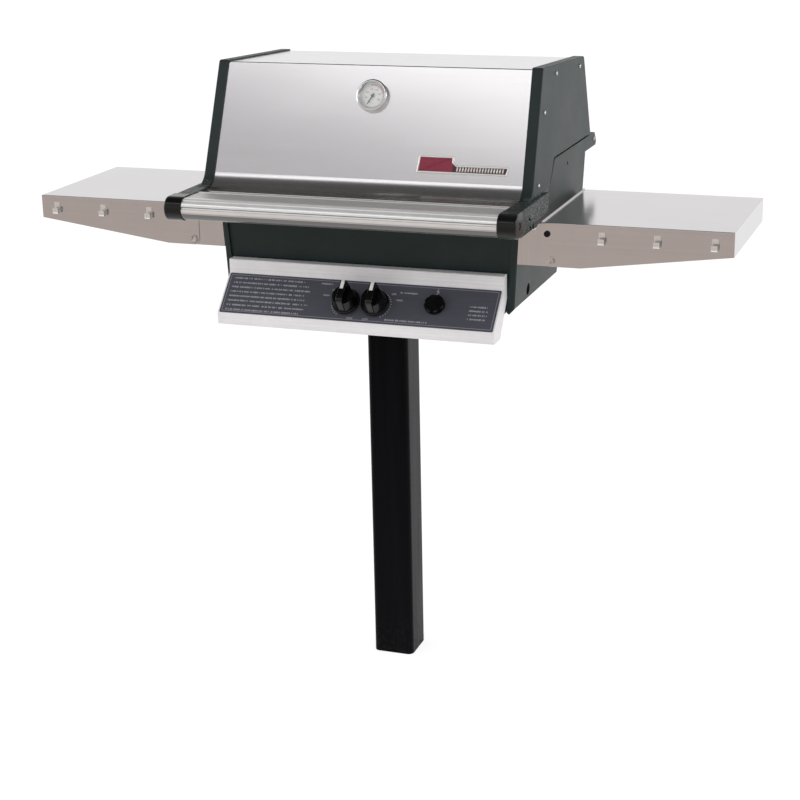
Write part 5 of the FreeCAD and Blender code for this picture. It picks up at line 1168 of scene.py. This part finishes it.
@dataclass
class Hood:
    """End castings, skins, grip, plate, screws and thermometer."""

    # Screws: their heads' radius, height and recess, and each one's y and z on the ends
    screw_radius: float = 0.0045
    screw_height: float = 0.0024
    screw_recess: float = 0.0012
    screw_gap: float = 0.00015
    screw_skirt: float = 0.0003
    screw_places: tuple = ((0.0298, 1.2274), (0.2100, 1.2182), (-0.0594, 1.1660), (-0.1107, 1.0370))
    # The ends lean inwards: half the width at two heights
    half_low: float = 0.336
    half_top: float = 0.331
    low_z: float = 1.0155
    top_z: float = 1.2493
    # Bare plate: its left edge, step and right edge, two heights, foot above ground and relief
    plate_x: tuple[float, float, float] = (0.103, 0.1763, 0.286)
    plate_heights: tuple[float, float] = (0.0339, 0.0178)
    plate_foot: float = 1.0567
    plate_relief: float = 0.002
    plate_crest: float = 0.0019
    plate_sunk: float = 0.0010
    plate_silver: Colour = (0.88, 0.86, 0.85)
    rib_silver: Colour = (0.88, 0.84, 0.82)
    rib_pitch: float = 0.0056
    rib_lean: float = 0.0012
    rib_width: float = 0.0030
    rib_height: float = 0.0007
    # Thermometer's dial
    dial_face: float = 0.0028
    dial_start: float = 240.0
    dial_turn: float = 270.0
    tick_outer: float = 0.0200
    tick_inner: float = 0.0182
    tick_inner_long: float = 0.0165
    tick_width: float = 0.0005
    number_ring: float = 0.0136
    number_size: float = 0.0038
    arc_radii: tuple[float, float] = (0.0203, 0.0213)
    arc_turns: tuple[float, float] = (105.0, 15.0)

    def half(self, z: float) -> float:
        """Half the hood's width at a height, which narrows evenly towards the top."""
        return self.half_low + (self.half_top - self.half_low) * (z - self.low_z) / (self.top_z - self.low_z)

    def screws(self) -> None:
        """Domed screw heads with a cross recess, in place of the plain ones.

        Height over the head is the dome, its rim dropping as a fourth power of the radius, less the
        recess, which is deepest where either arm of the cross passes and fades at the arm's edge.
        """
        turn = np.linspace(0.0, 2 * math.pi, 48, endpoint=False)
        r, a = np.meshgrid(np.linspace(0.0, 1.0, 15), turn, indexing="ij")
        u = r * np.cos(a)
        v = r * np.sin(a)
        arm = np.minimum(np.abs(u), np.abs(v))
        recess = np.clip((0.16 - arm) / 0.06, 0.0, 1.0) * np.clip((0.62 - r) / 0.10, 0.0, 1.0)
        dome = self.screw_height * (1.0 - r ** 4 * 0.85) - self.screw_recess * recess
        heads = []
        faces = []
        for y, z in self.screw_places:
            for _, side in SIDES:
                x = side * (self.half(z) + self.screw_gap)
                head = np.stack([x + side * dome, y + side * u * self.screw_radius,
                                 z + v * self.screw_radius], axis=-1)
                skirt = head[-1:].copy()
                skirt[..., 0] = x - side * self.screw_skirt
                head = np.concatenate([head, skirt])
                faces += grid_faces(*head.shape[:2], True, len(heads) * head[..., 0].size)
                heads.append(head)
        piece = new_piece("hood_screw_heads", np.stack(heads), faces, "hood",
                          BareMetal("screw_zinc", (0.62, 0.62, 0.60), 0.28, stain=(0.35, 0.33, 0.28)))
        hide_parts("hood_screws")

    def nameplate(self, front: Plane) -> None:
        """Bare plate: a silver rim round a sunk enamel field, and low blank ribs on the bar.

        The rim is a profile carried round the plate's outline: up its side, over a rounded crest and
        down to the field. The field is one flat face inside it.

        Args:
            front: the hood's front sheet.
        """
        left, step, right = self.plate_x
        tall, low = self.plate_heights
        corners = [(left, 0.0, 0.003), (right - 0.004, 0.0, 0.003), (right, low, 0.003),
                   (step + 0.006, low, 0.002), (step, low + 0.005, 0.002), (step, tall, 0.003),
                   (left + 0.003, tall, 0.003)]
        outline = rounded_path(corners)
        crest = self.plate_crest
        floor = self.plate_relief - self.plate_sunk
        arc = crest * rays(np.linspace(math.pi, 0.0, 9))
        across = np.concatenate([[0.0], crest + arc[:, 0], [2 * crest]])
        rise = np.concatenate([[-0.0002], self.plate_relief - crest + arc[:, 1], [floor]])
        rings = np.stack([moved_in(outline, d) for d in across])
        up_slope = (self.plate_foot - front.origin[2]) / front.up[2]
        plane = Plane(front.origin + front.up * up_slope, front.across, front.up, front.out)
        points = plane.points(rings[..., 0], rings[..., 1], rise[:, None])
        rim = new_piece("nameplate_rim", points, grid_faces(*rings.shape[:2], True), "hood",
                        BrushedSheet("plate_silver", self.plate_silver, Grain.NONE, 0.3, metal=0.4))
        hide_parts("hood_nameplate")
        new_piece("nameplate_field", points[-1], [list(range(len(outline)))], "hood",
                  Enamel("plate_enamel"), smooth=False)
        bars = []
        faces = []
        for u in np.arange(step + 0.007, right - 0.010, self.rib_pitch):
            path = plane.points(np.array([u, u + self.rib_lean]), np.array([low * 0.28, low * 0.76]), floor)
            bar, bar_faces = swept(path, plane.across, plane.out,
                                   rounded_bar(self.rib_width, self.rib_height, 0.0001))
            faces += [[len(bars) * len(bar) + n for n in face] for face in bar_faces]
            bars.append(bar)
        new_piece("nameplate_ribs", np.stack(bars), faces, "hood",
                  BrushedSheet("rib_silver", self.rib_silver, Grain.NONE, 0.3, metal=0.4))

    def dial(self, front: Plane) -> None:
        """Ticks, numbers and a red arc printed on the thermometer's dial.

        Args:
            front: the hood's front sheet at the thermometer's axis.
        """
        ray = rays(np.radians(self.dial_start - np.linspace(0.0, self.dial_turn, 31)))
        inner = np.full((len(ray), 1), self.tick_inner)
        inner[::5] = self.tick_inner_long
        ink = Speckled("dial_ink", (0.02, 0.02, 0.02))
        sheet = Print(front, self.dial_face + 0.00005, "hood", "needle_black")
        sheet.strokes("dial_ticks", np.hstack([ray * inner, ray * self.tick_outer]), self.tick_width, ink)
        sheet.words("dial_numbers", [(str(100 * (i + 1)), u * self.number_ring, v * self.number_ring,
                                      self.number_size) for i, (u, v) in enumerate(ray[::5].tolist())], ink)
        arc = rays(np.radians(np.linspace(*self.arc_turns, 40)))
        rings = np.array(self.arc_radii)[:, None, None] * arc
        points = front.points(rings[..., 0], rings[..., 1], sheet.lift)
        new_piece("dial_arc", points, grid_faces(2, 40, False), "hood",
                  Speckled("arc_red", (0.55, 0.03, 0.02)), smooth=False)

    def build(self) -> None:
        """Dresses the hood and adds its small pieces."""
        dress(HeatProofPaint("hood_casting_paint", grain_depth=0.0003, chips=(1.030, 1.015)), "hood_left_end",
              "hood_right_end")
        dress(ScorchAndShadeSheet("hood_front_steel"), "hood_front_skin")
        dress(BrushedSheet("hood_top_steel", (0.68, 0.675, 0.68)), "hood_top_skin")
        dress(RibbedGrip("grip_metal_finish"), "handle_grip")
        dress(GlossPlastic("cap_plastic", roughness=0.20), "handle_left_cap", "handle_right_cap")
        dress(BareMetal("bezel_chrome", (0.80, 0.80, 0.81), 0.10, relief=0.00001), "thermometer_case")
        dress(Speckled("dial_white_paint", (0.90, 0.90, 0.88), 0.45), "thermometer_dial")
        dress(Speckled("needle_paint", (0.015, 0.015, 0.015), 0.4), "thermometer_needle")
        dress(ClearGlass("window_glass"), "thermometer_glass")
        dress(BareMetal("hinge_zinc", (0.58, 0.58, 0.56), 0.32), "hood_hinge_pins")
        dress(PinPlate("shelf_pin_plate"), "shelf_pins")
        dress(BareMetal("hidden_metal", (0.6, 0.6, 0.6)), "hood_nameplate", "hood_screws")
        front = Plane.square_to("gauge_needle", -1.0)
        self.screws()
        self.nameplate(front)
        self.dial(front)


@dataclass
class Shelves:
    """Folding shelves, their brackets and tool hooks."""

    steel: Colour = (0.585, 0.565, 0.57)
    bracket_steel: Colour = (0.58, 0.56, 0.56)

    def build(self) -> None:
        """Dresses the shelves."""
        dress(BrushedSheet("shelf_steel", self.steel, roughness=0.15), "left_shelf", "right_shelf")
        dress(BrushedSheet("bracket_steel_finish", self.bracket_steel, Grain.ALONG_Z, 0.22),
              "left_shelf_bracket", "right_shelf_bracket")
        dress(BareMetal("hook_steel", (0.86, 0.855, 0.84), 0.3, Grain.ALONG_Z, 0.00001),
              "left_tool_hooks", "right_tool_hooks")


# Studio


@dataclass
class Studio:
    """White floor, pale surroundings that darken overhead, soft lamps and the camera."""

    floor_half: float = 30.0
    floor_colour: Colour = (0.80, 0.795, 0.79)
    floor_front: Colour = (0.48, 0.385, 0.33)
    floor_turns: tuple[float, float] = (-0.8, -1.8)
    floor_glow: float = 0.82
    floor_lit: float = 0.30
    ambient: float = 0.74
    room_behind: tuple = ((0.0, 1.0), (0.30, 1.0), (0.50, 0.72), (0.70, 0.22), (0.85, 0.08))
    room_before: tuple = ((0.0, 0.72), (0.30, 0.72), (0.48, 0.55), (0.66, 0.33), (0.80, 0.08))
    room_turns: tuple[float, float] = (0.05, -0.55)
    # Lamps look at one point: name, place, width and height, power
    lamp_target: tuple[float, float, float] = (0.0, 0.0, 1.1)
    lamps: tuple = (("front_softbox", (-0.95, -2.33, 3.06), (2.4, 0.52), 5.6),
                    ("left_softbox", (-3.6, -1.2, 2.2), (1.8, 1.8), 34.0),
                    ("right_softbox", (3.4, 0.2, 1.9), (1.2, 1.6), 20.0))
    # Camera: focal length and picture width in pixels, place, and angles in degrees
    focal: float = 1817.2
    image: float = 800.0
    sensor: float = 36.0
    camera_place: tuple[float, float, float] = (1.2287, -3.3554, 1.697)
    yaw: float = 19.94
    pitch: float = 17.76
    roll: float = -1.17

    def floor(self) -> None:
        """Large flat floor that the eye sees white, and gloss sees warm grey in front of the object.

        What is seen glows at its colour less the share that the light gives it, so that it stays white
        in the open and the object's shadow stays on it.
        """
        h = self.floor_half
        mesh = bpy.data.meshes.new("studio_floor")
        mesh.from_pydata([(-h, -h, 0.0), (h, -h, 0.0), (h, h, 0.0), (-h, h, 0.0)], [], [(0, 1, 2, 3)])
        plate = bpy.data.objects.new("studio_floor", mesh)
        bpy.context.scene.collection.objects.link(plate)
        g = Graph("floor_paint")
        plain = g.blend(g.noise(1.5, 3.0), shade(self.floor_colour, 0.985), self.floor_colour)
        glow = g.blend(g.remap(g.axis("Y"), *self.floor_turns), WHITE, self.floor_front)
        glow = g.blend(g.camera_ray(), glow, WHITE)
        lit = g.add("ShaderNodeBsdfDiffuse", {"Color": (self.floor_lit,) * 3 + (1.0,)}).outputs[0]
        glowing = g.add("ShaderNodeEmission", {"Color": glow, "Strength": self.floor_glow}).outputs[0]
        both = g.add("ShaderNodeAddShader", {0: lit, 1: glowing}).outputs[0]
        spread = g.add("ShaderNodeBsdfDiffuse", {"Color": plain}).outputs[0]
        g.even_or_seen(spread, both)
        mesh.materials.append(g.material)

    def surroundings(self) -> None:
        """World light: an even level for lighting, white for the eye, and a room for gloss and glass.

        That room is white behind and beside the object, paler grey in front of it, and dark overhead.
        """
        g = Graph("studio_world", world=True)
        bpy.context.scene.world = g.material
        way = g.add("ShaderNodeTexCoord").outputs["Generated"]
        split = g.add("ShaderNodeSeparateXYZ", {0: way}).outputs
        behind, before = (g.ramp(split["Z"], stops) for stops in (self.room_behind, self.room_before))
        room = g.blend(g.remap(split["Y"], *self.room_turns), behind, before)
        room = g.blend(g.camera_ray(), room, WHITE)
        even = g.add("ShaderNodeBackground", {"Color": (*WHITE, 1.0), "Strength": self.ambient}).outputs[0]
        lining = g.add("ShaderNodeBackground", {"Color": room}).outputs[0]
        g.even_or_seen(even, lining)

    def lamp(self, name: str, place: tuple, size: tuple, power: float) -> None:
        """Soft rectangular lamp that looks at the target.

        Args:
            name: its name.
            place: where it stands.
            size: its width and height.
            power: its power in watts.
        """
        light = bpy.data.lights.new(name, "AREA")
        light.shape = "RECTANGLE"
        light.size, light.size_y = size
        light.energy = power
        holder = bpy.data.objects.new(name, light)
        bpy.context.scene.collection.objects.link(holder)
        holder.location = place
        way = Vector(self.lamp_target) - Vector(place)
        holder.rotation_euler = way.to_track_quat("-Z", "Y").to_euler()

    def camera(self) -> None:
        """Camera at the fitted place, from its turn, its tilt and its roll.

        The forward direction is the turned and tilted y axis; right and up are then rolled about it.
        """
        yaw, pitch, roll = (math.radians(a) for a in (self.yaw, self.pitch, self.roll))
        forward = np.array([-math.sin(yaw) * math.cos(pitch), math.cos(yaw) * math.cos(pitch),
                            -math.sin(pitch)])
        right = np.array([math.cos(yaw), math.sin(yaw), 0.0])
        up = np.cross(right, forward)
        rolled_right = math.cos(roll) * right + math.sin(roll) * up
        rolled_up = -math.sin(roll) * right + math.cos(roll) * up
        lens = bpy.data.cameras.new("photo_camera")
        lens.sensor_width = self.sensor
        lens.lens = self.focal / self.image * self.sensor
        lens.clip_end = 100.0
        camera = bpy.data.objects.new("photo_camera", lens)
        bpy.context.scene.collection.objects.link(camera)
        turned = Matrix((rolled_right, rolled_up, -forward)).transposed().to_4x4()
        camera.matrix_world = Matrix.Translation(Vector(self.camera_place)) @ turned
        bpy.context.scene.camera = camera

    def build(self) -> None:
        """Sets up the floor, the light and the camera."""
        self.floor()
        self.surroundings()
        for lamp in self.lamps:
            self.lamp(*lamp)
        self.camera()
        bpy.context.scene.view_settings.view_transform = "Standard"
        log.info("studio with its camera")


def main() -> None:
    """Builds and dresses each sub-assembly in order, then the studio."""
    logging.basicConfig(level=logging.INFO, format="%(name)s %(message)s")
    for assembly in (Pedestal(), Firebox(), Controls(), Hood(), Shelves(), Studio()):
        log.info("%s", type(assembly).__name__)
        assembly.build()
    bpy.context.view_layer.update()


if __name__ == "__main__":
    main()
